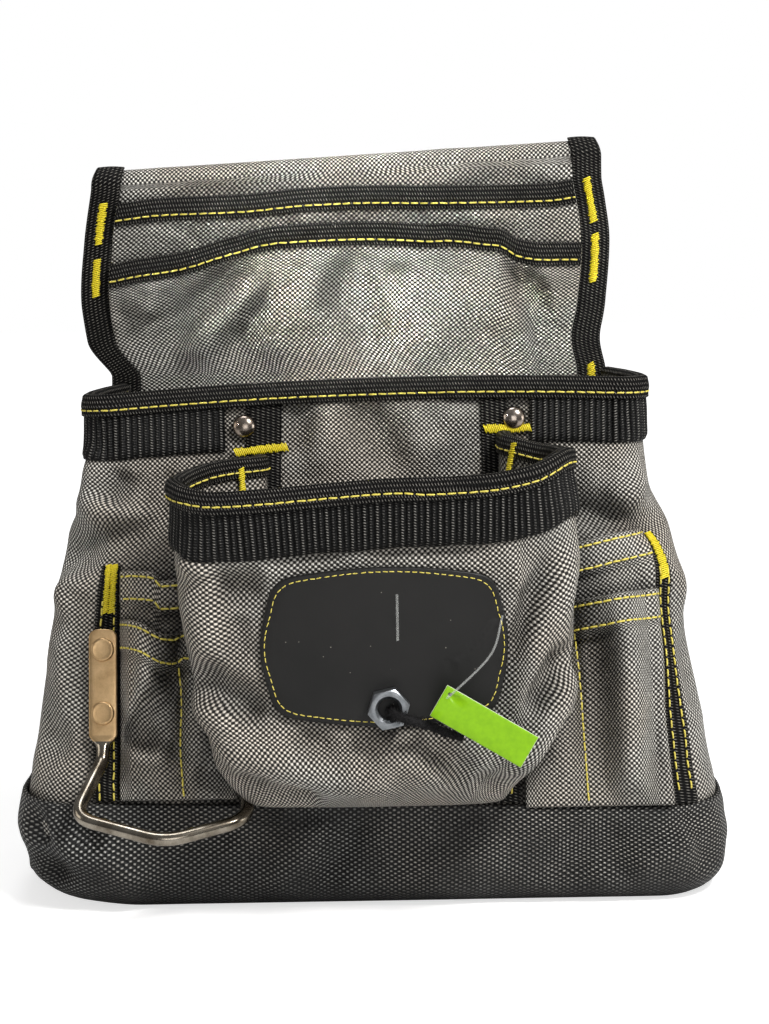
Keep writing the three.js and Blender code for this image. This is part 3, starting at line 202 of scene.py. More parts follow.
WALL_FOLDS_PX = (
    (355, 405, 392, 465, 6, -2.8), (462, 405, 412, 462, 6, 2.0), (330, 405, 318, 470, 5, 1.4),
    (300, 405, 292, 455, 5, -1.8), (430, 400, 440, 440, 4, -1.2), (178, 522, 66, 556, 5, -4.5),
    (83, 510, 156, 530, 5, 2.5), (120, 478, 112, 505, 5, -2.0), (60, 590, 95, 610, 6, 2.0),
    (100, 470, 60, 500, 5, 1.5), (577, 512, 657, 526, 4, -3.0), (590, 480, 640, 500, 6, 2.0),
    (610, 470, 600, 500, 4, -1.0), (640, 560, 700, 600, 5, 1.6), (690, 640, 705, 700, 5, -1.5),
    (70, 640, 90, 720, 6, 1.5), (50, 740, 100, 700, 5, -1.6), (80, 770, 120, 780, 5, 1.4),
    (170, 480, 150, 510, 4, -1.5),
)
TIER_FOLDS_PX = (
    (117, 744, 158, 752, 4, -2.6), (125, 762, 165, 764, 4, 2.2), (119, 730, 165, 669, 3, 1.6),
    (135, 735, 176, 690, 3, -1.4), (180, 640, 190, 670, 3, -1.8), (140, 655, 150, 700, 3, 1.2),
    (200, 780, 230, 790, 4, -1.2), (629, 640, 632, 795, 5, 2.2), (600, 640, 605, 790, 4, -1.2),
    (660, 640, 668, 790, 4, -1.4), (640, 560, 590, 572, 4, 1.2),
)
POCKET_FOLDS_PX = (
    (204, 684, 262, 717, 5, -3.4), (199, 706, 280, 746, 5, 2.6), (221, 592, 262, 586, 4, -2.8),
    (195, 600, 215, 660, 5, 1.8), (232, 620, 240, 660, 4, -1.2), (228, 752, 373, 780, 5, 2.4),
    (262, 793, 313, 802, 4, -2.2), (240, 775, 262, 790, 4, -1.8), (300, 725, 340, 765, 4, -1.3),
    (380, 740, 440, 775, 5, 1.6), (430, 745, 470, 770, 4, -1.5), (570, 569, 513, 705, 4, 2.6),
    (545, 575, 508, 660, 3, -2.0), (568, 692, 521, 763, 4, 2.4), (563, 660, 533, 705, 4, -2.6),
    (574, 735, 540, 785, 4, -1.6), (560, 590, 562, 650, 3, 1.0), (185, 560, 205, 580, 4, 1.6),
    (270, 556, 330, 549, 4, -1.4), (380, 548, 470, 545, 4, -1.2), (500, 560, 520, 590, 4, 1.4),
    (480, 775, 500, 790, 4, -1.2), (190, 740, 230, 780, 4, -1.6),
)
BASE_FOLDS_PX = (
    (39, 802, 73, 858, 4, 3.0), (32, 820, 36, 850, 3, -3.6), (60, 815, 95, 850, 4, -3.0),
    (80, 850, 140, 885, 6, 2.2), (277, 887, 325, 817, 6, 1.8), (330, 880, 360, 825, 5, -1.4),
    (180, 860, 230, 835, 5, -1.6), (430, 870, 500, 840, 7, 1.4), (560, 880, 620, 835, 6, -1.4),
    (640, 870, 700, 845, 5, 1.6), (24, 860, 60, 890, 4, -2.6), (110, 810, 200, 815, 4, -1.6),
    (690, 820, 715, 870, 4, -1.6),
)


# Small maths
def lerp(a, b, t):
    return a + (b - a) * t


def smooth(t):
    t = np.clip(t, 0.0, 1.0)
    return t * t * (3 - 2 * t)


def unit(v):
    return v / np.maximum(np.linalg.norm(v, axis=-1, keepdims=True), 1e-9)


def points(x, y, z):
    return np.stack(np.broadcast_arrays(x, y, z), axis=-1).astype(float)


def pairs(a, b):
    """A grid of all the pairs of two lists."""
    return np.stack(np.meshgrid(a, b, indexing="ij"), axis=-1)


def run_along(path):
    """The length of a path up to each of its points."""
    return np.concatenate([[0], np.cumsum(np.linalg.norm(np.diff(path, axis=0), axis=-1))])


def bend(a, b, c, t):
    """The curve from a to c that a corner b pulls out."""
    return (1 - t) ** 2 * np.array(a) + 2 * t * (1 - t) * np.array(b) + t * t * np.array(c)


def cubic(p0, p1, p2, p3, f):
    """The smooth curve between the two middle ones of four points."""
    a = 2 * p0 - 5 * p1 + 4 * p2 - p3
    b = 3 * p1 - p0 - 3 * p2 + p3
    return (2 * p1 + (p2 - p0) * f + a * f * f + b * f ** 3) / 2


def curve(table, t):
    """A smooth curve through a table of (place, value) shares, without overshoot."""
    place, value = np.array(table, float).T
    slope = np.diff(value) / np.diff(place)
    before, after = slope[:-1], slope[1:]
    total = np.where(before + after == 0, 1, before + after)
    inner = np.where(before * after <= 0, 0, 2 * before * after / total)
    tangent = np.concatenate([slope[:1], inner, slope[-1:]])
    t = np.clip(t, place[0], place[-1])
    k = np.clip(np.searchsorted(place, t, side="right") - 1, 0, len(place) - 2)
    width = place[k + 1] - place[k]
    s = (t - place[k]) / width
    rise = value[k + 1] - value[k]
    bend_in = tangent[k] * width - rise
    bend_out = rise - tangent[k + 1] * width
    return value[k] + rise * s + s * (1 - s) * (bend_in * (1 - s) + bend_out * s)


def along(values, s):
    """The value of an evenly spaced list at a share s of its length, on a smooth curve."""
    v = np.array([2 * values[0] - values[1], *values, 2 * values[-1] - values[-2]], float)
    spans = len(values) - 1
    k = np.clip(np.floor(s * spans).astype(int), 0, spans - 1)
    return cubic(v[k], v[k + 1], v[k + 2], v[k + 3], s * spans - k)


def noise(a, b, cell, seed):
    """Soft value noise of two coordinates, from -1 to 1, the same in every run."""
    table = np.random.default_rng(seed).uniform(-1, 1, (64, 64))
    a, b = np.broadcast_arrays(np.asarray(a, float) / cell, np.asarray(b, float) / cell)
    i, j = np.floor(a).astype(int), np.floor(b).astype(int)
    s, t = smooth(a - i), smooth(b - j)
    low = lerp(table[i % 64, j % 64], table[(i + 1) % 64, j % 64], s)
    high = lerp(table[i % 64, (j + 1) % 64], table[(i + 1) % 64, (j + 1) % 64], s)
    return lerp(low, high, t)


# The photograph's camera
def camera_axes():
    back = np.array([0, -math.cos(CAMERA_ELEVATION), math.sin(CAMERA_ELEVATION)])
    right = np.array([1.0, 0, 0])
    up = np.cross(back, right)
    c, s = math.cos(CAMERA_ROLL), math.sin(CAMERA_ROLL)
    place = np.array([0, 0, AIM_HEIGHT]) + back * CAMERA_DISTANCE
    return c * right + s * up, -s * right + c * up, back, place


def from_photo(px, py, y):
    """The x and z, in millimetres, of a pixel of the photograph on the plane at depth y."""
    right, up, back, place = camera_axes()
    ray = right * (px - CENTRE_PX[0]) + up * (CENTRE_PX[1] - py) - back * FOCAL_PX
    spot = place + ray * (y - place[1]) / ray[1]
    return spot[0], spot[2]


def make_camera():
    right, up, back, place = camera_axes()
    data = bpy.data.cameras.new("camera")
    camera = bpy.data.objects.new("camera", data)
    bpy.context.scene.collection.objects.link(camera)
    bpy.context.scene.camera = camera
    rows = [(right[i], up[i], back[i], place[i] * MM) for i in range(3)]
    camera.matrix_world = Matrix((*rows, (0, 0, 0, 1)))
    longest = max(PHOTO)
    data.sensor_width = 36
    data.lens = data.sensor_width * FOCAL_PX / longest
    data.shift_x = (PHOTO[0] / 2 - CENTRE_PX[0]) / longest
    data.shift_y = (CENTRE_PX[1] - PHOTO[1] / 2) / longest


FOLD_LIMIT = 8.0


def folds(table, y, gain):
    """A field of x and z that sums the soft ridges and valleys of a table of photograph pixels."""
    lines = [(*from_photo(*row[:2], y), *from_photo(*row[2:4], y), *row[4:]) for row in table]

    def field(x, z):
        total = np.zeros(np.broadcast(x, z).shape)
        for x0, z0, x1, z1, width, height in lines:
            dx, dz = x1 - x0, z1 - z0
            length = math.hypot(dx, dz)
            share = ((x - x0) * dx + (z - z0) * dz) / length ** 2
            away = ((x - x0) * dz - (z - z0) * dx) / length / width
            ends = smooth((share + 0.3) / 0.5) * smooth((1.3 - share) / 0.5)
            total += gain * height * np.exp(-away * away / 2) * ends
        return FOLD_LIMIT * np.tanh(total / FOLD_LIMIT)

    return field


# Host surfaces
def wall_sizes(z):
    t = (z - SEAM_Z) / (RIM_Z - SEAM_Z)
    half = lerp(SEAM_WIDTH, RIM_WIDTH, curve(WALL_WIDTH_SHARES, t)) / 2
    front = PANEL_Y - lerp(SEAM_DEPTH, MOUTH_DEPTH, curve(WALL_DEPTH_SHARES, t))
    t = np.clip(t, 0, 1)
    return half, front, lerp(SEAM_CORNER, RIM_CORNER, t), lerp(SEAM_TUCK, RIM_TUCK, t)


def wall(u, z):
    """The main pocket's wall: u is 0 to 1 on the left side, 1 to 2 on its corner, 2 to 3 on the front."""
    u, z = np.broadcast_arrays(np.asarray(u, float), np.asarray(z, float))
    half, front, corner, tuck = wall_sizes(z)
    side = np.where(u < WALL_LAST / 2, -1, 1)
    w = np.where(side < 0, u, WALL_LAST - u)
    angle = math.pi / 2 * (np.clip(w, 1, 2) - 1)
    on_side = w <= 1
    on_front = w > 2
    bow = 1 - np.sin(math.pi / 2 * w)
    x = np.where(on_side, half - tuck * bow, half - corner + corner * np.cos(angle))
    x = np.where(on_front, (half - corner) * (1 - 2 * (w - 2)), x)
    y = np.where(on_side, lerp(REAR_EDGE_Y, front + corner, w), front + corner - corner * np.sin(angle))
    drawn = np.where(side > 0, RIGHT_DRAW * (x / half) ** 2, 0)
    return points(side * (x - drawn), np.where(on_front, front, y), z)


def wall_u(x, z):
    """The place along the wall where its front or a front corner has this x."""
    x, z = np.broadcast_arrays(np.asarray(x, float), np.asarray(z, float))
    half, _, corner, _ = wall_sizes(z)
    flat = half - corner
    far = np.minimum(np.abs(x), half)
    turn = np.arccos(np.clip((far - flat) / corner, 0, 1)) / (math.pi / 2)
    w = np.where(far <= flat, 2 + (1 - far / flat) / 2, 1 + turn)
    return np.where(x < 0, w, WALL_LAST - w)


def rim_z(u):
    share = wall(u, RIM_Z)[..., 0] / (RIM_WIDTH / 2)
    return RIM_Z + RIM_RISE * share - RIM_CROWN * share * share


def seam_z(x):
    return SEAM_Z - SEAM_DROP * x / (SEAM_WIDTH / 2)


def wall_normal(u, z):
    du, dz = 0.004, 0.17
    across = wall(np.minimum(u + du, WALL_LAST), z) - wall(np.maximum(u - du, 0), z)
    return unit(np.cross(across, wall(u, z + dz) - wall(u, z - dz)))


wall_relief = folds(WALL_FOLDS_PX, y=-22, gain=3.0)

# Where plates and rivets hold the wall's cloth flat: x and z of the middle, half width and half height
FLAT_SPOTS = ((-110.4, 92.0, 9.0, 30.0), (-48.2, 92.0, 9.0, 34.0), (-52.0, 194.0, 7.0, 7.0),
              (60.0, 194.0, 7.0, 7.0))

# Millimetres of cloth in one step of u, for the noise
WALL_UNIT, POCKET_UNIT = 60.0, 120.0


def wall_fold(u, z):
    """How far the wall's cloth stands out of its host, calm under rivets, plates and inner tapes."""
    x = wall(u, z)[..., 0]
    run = u * WALL_UNIT
    front = smooth((u - 0.9) / 0.5) * smooth((WALL_LAST - 0.9 - u) / 0.5)
    field = wall_relief(x, z) * front + 0.8 * noise(run, z, 26, 3) + 0.4 * noise(run, z, 11, 4)
    for spot_x, spot_z, half_x, half_z in FLAT_SPOTS:
        near_x = smooth((np.abs(x - spot_x) - half_x) / 8)
        near_z = smooth((np.abs(z - spot_z) - half_z) / 10)
        field = field * np.where(front > 0, np.maximum(near_x, near_z), 1)
    for side in SIDES:
        tape = side * np.mean(INNER_TAPE[side])
        beside = 1 - np.exp(-((x - tape) / 12) ** 2)
        field = field * np.where(front > 0, lerp(beside, 1, smooth((z - 176) / 6) * 0.5), 1)
    under = smooth((z - SEAM_Z - 2) / 14)
    below_rim = 1 - 0.75 * smooth((z - RIM_Z + 16) / 10)
    ends = smooth(u / 0.16) * smooth((WALL_LAST - u) / 0.16)
    return field * under * below_rim * ends


def on_wall(u, z, d, folded=True):
    u, z = np.broadcast_arrays(np.asarray(u, float), np.asarray(z, float))
    stand = d + (wall_fold(u, z) if folded else 0)
    return wall(u, z) + wall_normal(u, z) * np.asarray(stand)[..., None]


def pocket_rim_z(u):
    return POCKET_RIM + POCKET_LIFT * curve(POCKET_RIM_SHARES, u)


def mouth_z(u):
    """The cloth's real edge at the pocket's mouth, which sags less in front than the plain rim does."""
    return pocket_rim_z(u) + curve(POCKET_RIM_LIFTS, u)


def mouth_v(u, below=0.0):
    return (mouth_z(u) - below - POCKET_FOOT_Z) / (pocket_rim_z(u) - POCKET_FOOT_Z)


def pocket(u, v):
    """The front pocket's wall: u is 0 to 2 from left to right, v 0 to 1 from its foot to its rim."""
    u, v = np.broadcast_arrays(np.asarray(u, float), np.asarray(v, float))
    side = np.where(u < 1, -1, 1)
    w = np.where(side < 0, u, POCKET_LAST - u)
    z = lerp(POCKET_FOOT_Z, pocket_rim_z(u), v)
    top = np.clip(v, 0, 1)
    belly = np.sqrt(1 - (1 - np.minimum(1, top / BELLY_SHARE)) ** 2)
    full = lerp(POCKET_BELLY_DEPTH, POCKET_RIM_DEPTH, curve(POCKET_DEPTH_SHARES, top))
    depth = lerp(POCKET_FOOT_DEPTH, full, belly)
    rim_left, foot_left = POCKET_ATTACH[-1]
    rim_right, foot_right = POCKET_ATTACH[1]
    attach = np.where(side < 0, lerp(foot_left, rim_left, top * top), lerp(foot_right, rim_right, top * top))
    half = POCKET_HALF * np.where(side < 0, curve(POCKET_LEFT_SHARES, top), curve(POCKET_RIGHT_SHARES, top))
    out = along(PLAN_OUT_SHARES, w)
    turn = PLAN_TURN / (len(PLAN_OUT_SHARES) - 1)
    x = np.where(w < turn, lerp(attach, half, out), half * out)
    x = x * (1 - POCKET_MOUTH_TUCK * smooth((v - 0.8) / 0.2) * smooth((x - 45) / 30))
    wall_y = wall_sizes(z)[1] - POCKET_STAND
    return points(side * x, wall_y - depth * along(PLAN_DEPTH_SHARES, w), z)


pocket_relief = folds(POCKET_FOLDS_PX, y=-82, gain=3.2)


def pocket_fold(u, v):
    """How far the front pocket's cloth stands out, nearly flat under the patch and at its edges."""
    p = pocket(u, v)
    x, z = p[..., 0], p[..., 2]
    run = u * POCKET_UNIT
    front = smooth((u - 0.3) / 0.3) * smooth((POCKET_LAST - 0.3 - u) / 0.3)
    field = pocket_relief(x, z) * front + 0.7 * noise(run, z, 24, 11) + 0.35 * noise(run, z, 10, 12)
    off_x = (np.abs(x - PATCH_X) - PATCH_WIDTH / 2) / 10
    off_z = (np.abs(z - PATCH_Z) - PATCH_HEIGHT / 2) / 8
    off_patch = smooth(np.maximum(off_x, off_z) + 0.35)
    rim = 1 - 0.85 * smooth((z - mouth_z(u) + WEBBING_WIDTH + 3) / 5)
    edges = smooth(u / 0.12) * smooth((POCKET_LAST - u) / 0.12)
    foot = smooth(v / 0.05)
    return field * lerp(0.12, 1, np.where(front > 0, off_patch, 1)) * rim * edges * foot


def on_pocket(u, v, d, folded=True):
    u, v = np.broadcast_arrays(np.asarray(u, float), np.asarray(v, float))
    du = dv = 0.002
    across = pocket(np.minimum(u + du, POCKET_LAST), v) - pocket(np.maximum(u - du, 0), v)
    low = np.maximum(0, v - dv)
    normal = unit(np.cross(across, pocket(u, low + 2 * dv) - pocket(u, low)))
    stand = d + (pocket_fold(u, v) if folded else 0)
    return pocket(u, v) + normal * np.asarray(stand)[..., None]


def pocket_place(x, z):
    """The u and v where the pocket's front has this x and height."""
    x, z = np.broadcast_arrays(np.asarray(x, float), np.asarray(z, float))
    v = (z - POCKET_FOOT_Z) / (POCKET_RIM - POCKET_FOOT_Z)
    start = PLAN_TURN / (len(PLAN_OUT_SHARES) - 1) + 1 / 14
    u = np.ones_like(x)
    for _ in range(4):
        low = np.full_like(x, start)
        high = np.full_like(x, POCKET_LAST - start)
        for _ in range(24):
            middle = (low + high) / 2
            short = pocket(middle, v)[..., 0] < x
            low = np.where(short, middle, low)
            high = np.where(short, high, middle)
        u = (low + high) / 2
        v = (z - POCKET_FOOT_Z) / (pocket_rim_z(u) - POCKET_FOOT_Z)
    return u, v


def pocket_at(x, z, d, folded=True):
    return on_pocket(*pocket_place(x, z), d, folded)


# Back panel and its sleeves
def fold_z(x):
    return PANEL_Z - FOLD_RADIUS + PANEL_RISE * x / (RIM_WIDTH / 2)


PANEL_HEAD = PANEL_Z - FOLD_RADIUS - PANEL_RISE - 2 * SEAM


def panel_edge(side, z):
    half, _, _, tuck = wall_sizes(np.minimum(z, RIM_Z))
    rise = np.clip((z - RIM_Z) / (PANEL_HEAD - RIM_Z), 0, 1)
    lean = np.clip((z - SEAM_Z) / (RIM_Z - SEAM_Z), 0, 1)
    change = FLARE_LEFT * curve(LEFT_SHARES, rise) if side < 0 else -DRAW_RIGHT * curve(RIGHT_SHARES, rise)
    return side * (half - tuck + change * lean)


def sleeve_x(across, z):
    across = across * (1 + SLEEVE_REACH_SHARE)
    left = panel_edge(-1, z) + BINDING_WIDTH + SLEEVE_INSET
    right = panel_edge(1, z) - BINDING_WIDTH - SLEEVE_INSET
    return lerp(left, right, (across + 1) / 2)


def fullness(z, foot, top):
    return np.sin(math.pi / 2 * np.clip((z - foot) / (top - foot), 0, 1))


def upper_top(across):
    return UPPER_TOP + UPPER_RISE * across + curve(UPPER_LIFTS, across)


def lower_top(across):
    plain = LOWER_TOP + LOWER_RISE * across + LOWER_ARCH * curve(ARCH_SHARES, across)
    return plain + curve(LOWER_LIFTS, across)


def mouth_lift(z, top):
    return (BINDING + SEAM) * smooth((z - top + 2 * SLEEVE_BINDING_WIDTH) / SLEEVE_BINDING_WIDTH)


upper_relief = folds(UPPER_FOLDS_PX, y=30, gain=2.4)
lower_relief = folds(LOWER_FOLDS_PX, y=22, gain=4.2)
panel_relief = folds(PANEL_FOLDS_PX, y=38, gain=2.4)


def sleeve_calm(across, z, foot, top):
    """Folds fade towards the sleeve's sides and foot, and under its binding."""
    sides = smooth((1 - np.abs(across)) / 0.16)
    return sides * smooth((z - foot) / 12) * (1 - 0.8 * smooth((z - top + SLEEVE_BINDING_WIDTH + 3) / 6))


def upper_stand(across, z):
    top = upper_top(across)
    x = sleeve_x(across, z)
    share = fullness(z, UPPER_FOOT, top)
    relief = (upper_relief(x, z) + 0.4 * noise(x, z, 22, 21)) * sleeve_calm(across, z, UPPER_FOOT, top)
    stand = mouth_lift(z, top) + UPPER_BULGE * np.cos(math.pi / 2 * across) * share
    return SEAM + np.maximum(stand + relief, 0)


def lower_stand(across, z):
    top = lower_top(across)
    x = sleeve_x(across, z)
    over = smooth((z - UPPER_FOOT + SLEEVE_STEP + CLOTH) / SLEEVE_STEP)
    under = (upper_stand(across, np.maximum(z, UPPER_FOOT)) + CLOTH) * over
    share = fullness(z, LOWER_FOOT, top)
    relief = (lower_relief(x, z) + 0.45 * noise(x, z, 20, 22) + 0.25 * noise(x, z, 9, 23))
    relief = relief * sleeve_calm(across, z, LOWER_FOOT, top)
    stand = mouth_lift(z, top) + LOWER_BULGE * np.cos(math.pi / 2 * across) * share
    return SEAM + under + np.maximum(stand + relief, 0)


# Meshes
def place_object(name, mesh, material, body="pouch", smooth_shade=True):
    piece = bpy.data.objects.new(name, mesh)
    bpy.context.scene.collection.objects.link(piece)
    mesh.materials.append(material)
    if smooth_shade:
        mesh.shade_smooth()
    if body:
        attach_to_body(piece, body)
    return piece


def volume_in(vertices, quads):
    """Six times the volume inside the quads, negative where they face in."""
    a, b, c, d = (vertices[quads[:, k]] for k in range(4))
    return np.einsum("ij,ij->i", a, np.cross(b, c)).sum() + np.einsum("ij,ij->i", a, np.cross(c, d)).sum()


def build(name, vertices, quads, material, body="pouch", uv=None, extra_faces=()):
    """A piece from points in millimetres and quads, turned so that its faces point out."""
    mesh = bpy.data.meshes.new(name)
    quads = quads if volume_in(vertices, quads) > 0 else quads[:, ::-1]
    faces = quads if not len(extra_faces) else quads.tolist() + [list(face) for face in extra_faces]
    mesh.from_pydata(vertices * MM, [], faces)
    if uv is not None:
        layer = mesh.uv_layers.new(name="cloth")
        corner = np.empty(len(mesh.loops), int)
        mesh.loops.foreach_get("vertex_index", corner)
        layer.data.foreach_set("uv", uv[corner].astype(np.float32).ravel())
    mesh.validate()
    return place_object(name, mesh, material, body)


def grid_uv(grid, start=(0.0, 0.0)):
    """Lengths along and up a grid of points, in millimetres, for the weave."""
    n, m = grid.shape[:2]
    return pairs(start[0] + run_along(grid[:, m // 2]), start[1] + run_along(grid[n // 2]))


def grid_quads(n, m, offset=0, closed=False, round_way=False):
    """Quads over a grid of n by m points, which may be closed along it, round it or both."""
    i, j = np.meshgrid(np.arange(n if closed else n - 1), np.arange(m if round_way else m - 1), indexing="ij")
    after_i, after_j = (i + 1) % n, (j + 1) % m
    corners = [i * m + j, after_i * m + j, after_i * m + after_j, i * m + after_j]
    return offset + np.stack(corners, axis=-1).reshape(-1, 4)


# A quad's corners in the other order, from the same first corner
TURNED = [0, 3, 2, 1]


def shell(name, outer, inner, material, body="pouch", uv=None, swell=0.3):
    """A closed sheet of cloth between two grids of points, with rounded edges."""
    n, m = outer.shape[:2]
    uv = grid_uv(outer) if uv is None else uv
    n_way, m_way = np.arange(n - 1), np.arange(m - 1)
    i = np.concatenate([n_way, np.full(m - 1, n - 1), n - 1 - n_way, np.zeros(m - 1, int)])
    j = np.concatenate([np.zeros(n - 1, int), m_way, np.full(n - 1, m - 1), m - 1 - m_way])
    near = outer[np.clip(i, 1, n - 2), np.clip(j, 1, m - 2)]
    thick = np.linalg.norm(outer[i, j] - inner[i, j], axis=-1, keepdims=True)
    edge = (outer[i, j] + inner[i, j]) / 2 + unit(outer[i, j] - near) * thick * swell
    vertices = np.concatenate([outer.reshape(-1, 3), inner.reshape(-1, 3), edge])
    size = n * m
    loop = np.arange(len(i))
    after = np.roll(loop, -1)
    top, low, rim = i * m + j, size + i * m + j, 2 * size + loop
    quads = np.concatenate([
        grid_quads(n, m),
        grid_quads(n, m, size)[:, ::-1],
        np.stack([top, rim, rim[after], top[after]], axis=-1),
        np.stack([rim, low, low[after], rim[after]], axis=-1),
    ])
    past = np.stack([(i == n - 1) * 1.0 - (i == 0), (j == m - 1) * 1.0 - (j == 0)], axis=-1) * thick * 0.7
    flat = np.concatenate([uv.reshape(-1, 2), uv.reshape(-1, 2), uv[i, j] + past])
    return build(name, vertices, quads, material, body, flat)


def loft(name, rings, material, body="pouch", uv=None):
    """A solid through rings of points, with both ends closed."""
    n, k = rings.shape[:2]
    vertices = rings.reshape(-1, 3)
    quads = grid_quads(n, k, round_way=True)[:, TURNED]
    first = np.arange(k)
    last = first[::-1] + (n - 1) * k
    caps = (first[::-1], last[::-1]) if volume_in(vertices, quads) > 0 else (first, last)
    if uv is None:
        uv = pairs(run_along(rings[:, 0]), run_along(rings[n // 2]))
    return build(name, vertices, quads, material, body, uv.reshape(-1, 2), caps)


def transport(path, first=None):
    """Tangents and two square directions at each point of a path, turned no more than the path itself."""
    tangent = unit(np.gradient(path, axis=0))
    side = np.array(first if first is not None else np.cross(tangent[0], [0.3, 0.2, 0.9]), float)
    sides = []
    for t in tangent:
        side = side - t * np.dot(side, t)
        side = side / np.linalg.norm(side)
        sides.append(side)
    sides = np.array(sides)
    return tangent, sides, np.cross(tangent, sides)


def tube_rings(path, radius, sides=12):
    _, a, b = transport(path)
    angle = np.linspace(0, 2 * math.pi, sides, endpoint=False)[:, None]
    radius = np.broadcast_to(np.asarray(radius, float), (len(path),))[:, None, None]
    return path[:, None] + radius * (a[:, None] * np.cos(angle) + b[:, None] * np.sin(angle))


def catmull(route, count):
    route = np.array(route, float)
    ends = np.concatenate([[2 * route[0] - route[1]], route, [2 * route[-1] - route[-2]]])
    s = np.linspace(0, len(route) - 1 - 1e-9, count)
    k = s.astype(int)
    return cubic(ends[k], ends[k + 1], ends[k + 2], ends[k + 3], (s - k)[:, None])


def even(path, step, extra=None):
    """A path cut to even steps, and another list carried along with it."""
    length = run_along(path)
    count = max(int(round(length[-1] / step)), 1) + 1
    s = np.linspace(0, length[-1], count)
    cut = np.stack([np.interp(s, length, path[:, k]) for k in range(3)], axis=-1)
    if extra is None:
        return cut
    return cut, unit(np.stack([np.interp(s, length, extra[:, k]) for k in range(3)], axis=-1))


# Threads
STITCH_PITCH, STITCH_LENGTH, THREAD_RADIUS = 4.1, 3.8, 0.37
STITCH_STEP = 0.4
STITCH_SEED, TACK_SEED = 100, 500


def stitch_rings(starts, ends, normals, radius, lift):
    """One short thread for each start and end: it rises out of the cloth and dips back in."""
    share = np.array([0.0, 0.05, 0.2, 0.5, 0.8, 0.95, 1.0])
    height = (1 - (2 * share - 1) ** 6) * lift - 0.12
    width = np.array([0.4, 0.85, 1.0, 1.0, 1.0, 0.85, 0.4]) * radius
    middle = lerp(starts[:, None], ends[:, None], share[None, :, None])
    middle = middle + normals[:, None] * height[None, :, None]
    along_way = unit(ends - starts)
    side = unit(np.cross(along_way, normals))
    angle = np.linspace(0, 2 * math.pi, 7, endpoint=False)
    across = side[:, None, None] * np.cos(angle)[None, None, :, None]
    outward = normals[:, None, None] * np.sin(angle)[None, None, :, None]
    return middle[:, :, None] + (across + outward) * width[None, :, None, None]


def threads(name, ring_sets, material, body="pouch"):
    """Joins many short threads, each closed at both ends, into one piece."""
    rings = np.concatenate(ring_sets)
    count, n, k = rings.shape[:3]
    vertices = rings.reshape(-1, 3)
    one = grid_quads(n, k, round_way=True)
    quads = (one + (np.arange(count) * n * k)[:, None, None]).reshape(-1, 4)
    first, last = np.arange(k), np.arange(k) + (n - 1) * k
    caps = (first, last[::-1]) if volume_in(vertices, quads) > 0 else (first[::-1], last)
    ends = [cap + thread * n * k for thread in range(count) for cap in caps]
    return build(name, vertices, quads, material, body, extra_faces=ends)


stitch_count = 0


def stitch_line(path, normals, pitch=STITCH_PITCH, length=STITCH_LENGTH, radius=THREAD_RADIUS, lift=0.42):
    """A row of running stitches along a path on the cloth."""
    global stitch_count
    stitch_count += 1
    cut, up = even(path, STITCH_STEP, normals)
    steps = max(math.ceil((len(cut) - 1) * STITCH_STEP / pitch), 1)
    starts = (np.arange(steps) * pitch / STITCH_STEP).astype(int)
    rng = np.random.default_rng(STITCH_SEED + stitch_count)
    wander = rng.uniform(-0.12, 0.12, (steps, 1))
    ends = np.minimum(starts + int(length / STITCH_STEP), len(cut) - 1)
    keep = ends > starts + 2
    starts, ends, wander = starts[keep], ends[keep], wander[keep]
    middle = (starts + ends) // 2
    side = unit(np.cross(cut[ends] - cut[starts], up[middle]))
    return stitch_rings(cut[starts] + side * wander, cut[ends] - side * wander, up[middle], radius, lift)


def bar_tack(path, normals, width, pitch=0.8, radius=0.34, lift=0.55, slant=1.1):
    """Close zigzag stitches across a path, as a bar tack."""
    global stitch_count
    stitch_count += 1
    cut, up = even(path, pitch, normals)
    side = unit(np.cross(np.gradient(cut, axis=0), up))
    rng = np.random.default_rng(TACK_SEED + stitch_count)
    reach = width / 2 * (1 + rng.uniform(-0.22, 0.2, (len(cut), 1)))
    lean = unit(np.gradient(cut, axis=0)) * slant / 2
    return stitch_rings(cut - side * reach - lean, cut + side * reach + lean, up, radius, lift)


# Materials
def node_maker(tree):
    def make(kind, *inputs, **settings):
        node = tree.nodes.new(kind)
        for key, value in settings.items():
            setattr(node, key, value)
        for socket, value in enumerate(inputs):
            if value is None:
                continue
            if isinstance(value, bpy.types.NodeSocket):
                tree.links.new(value, node.inputs[socket])
            else:
                node.inputs[socket].default_value = value
        return node

    return make


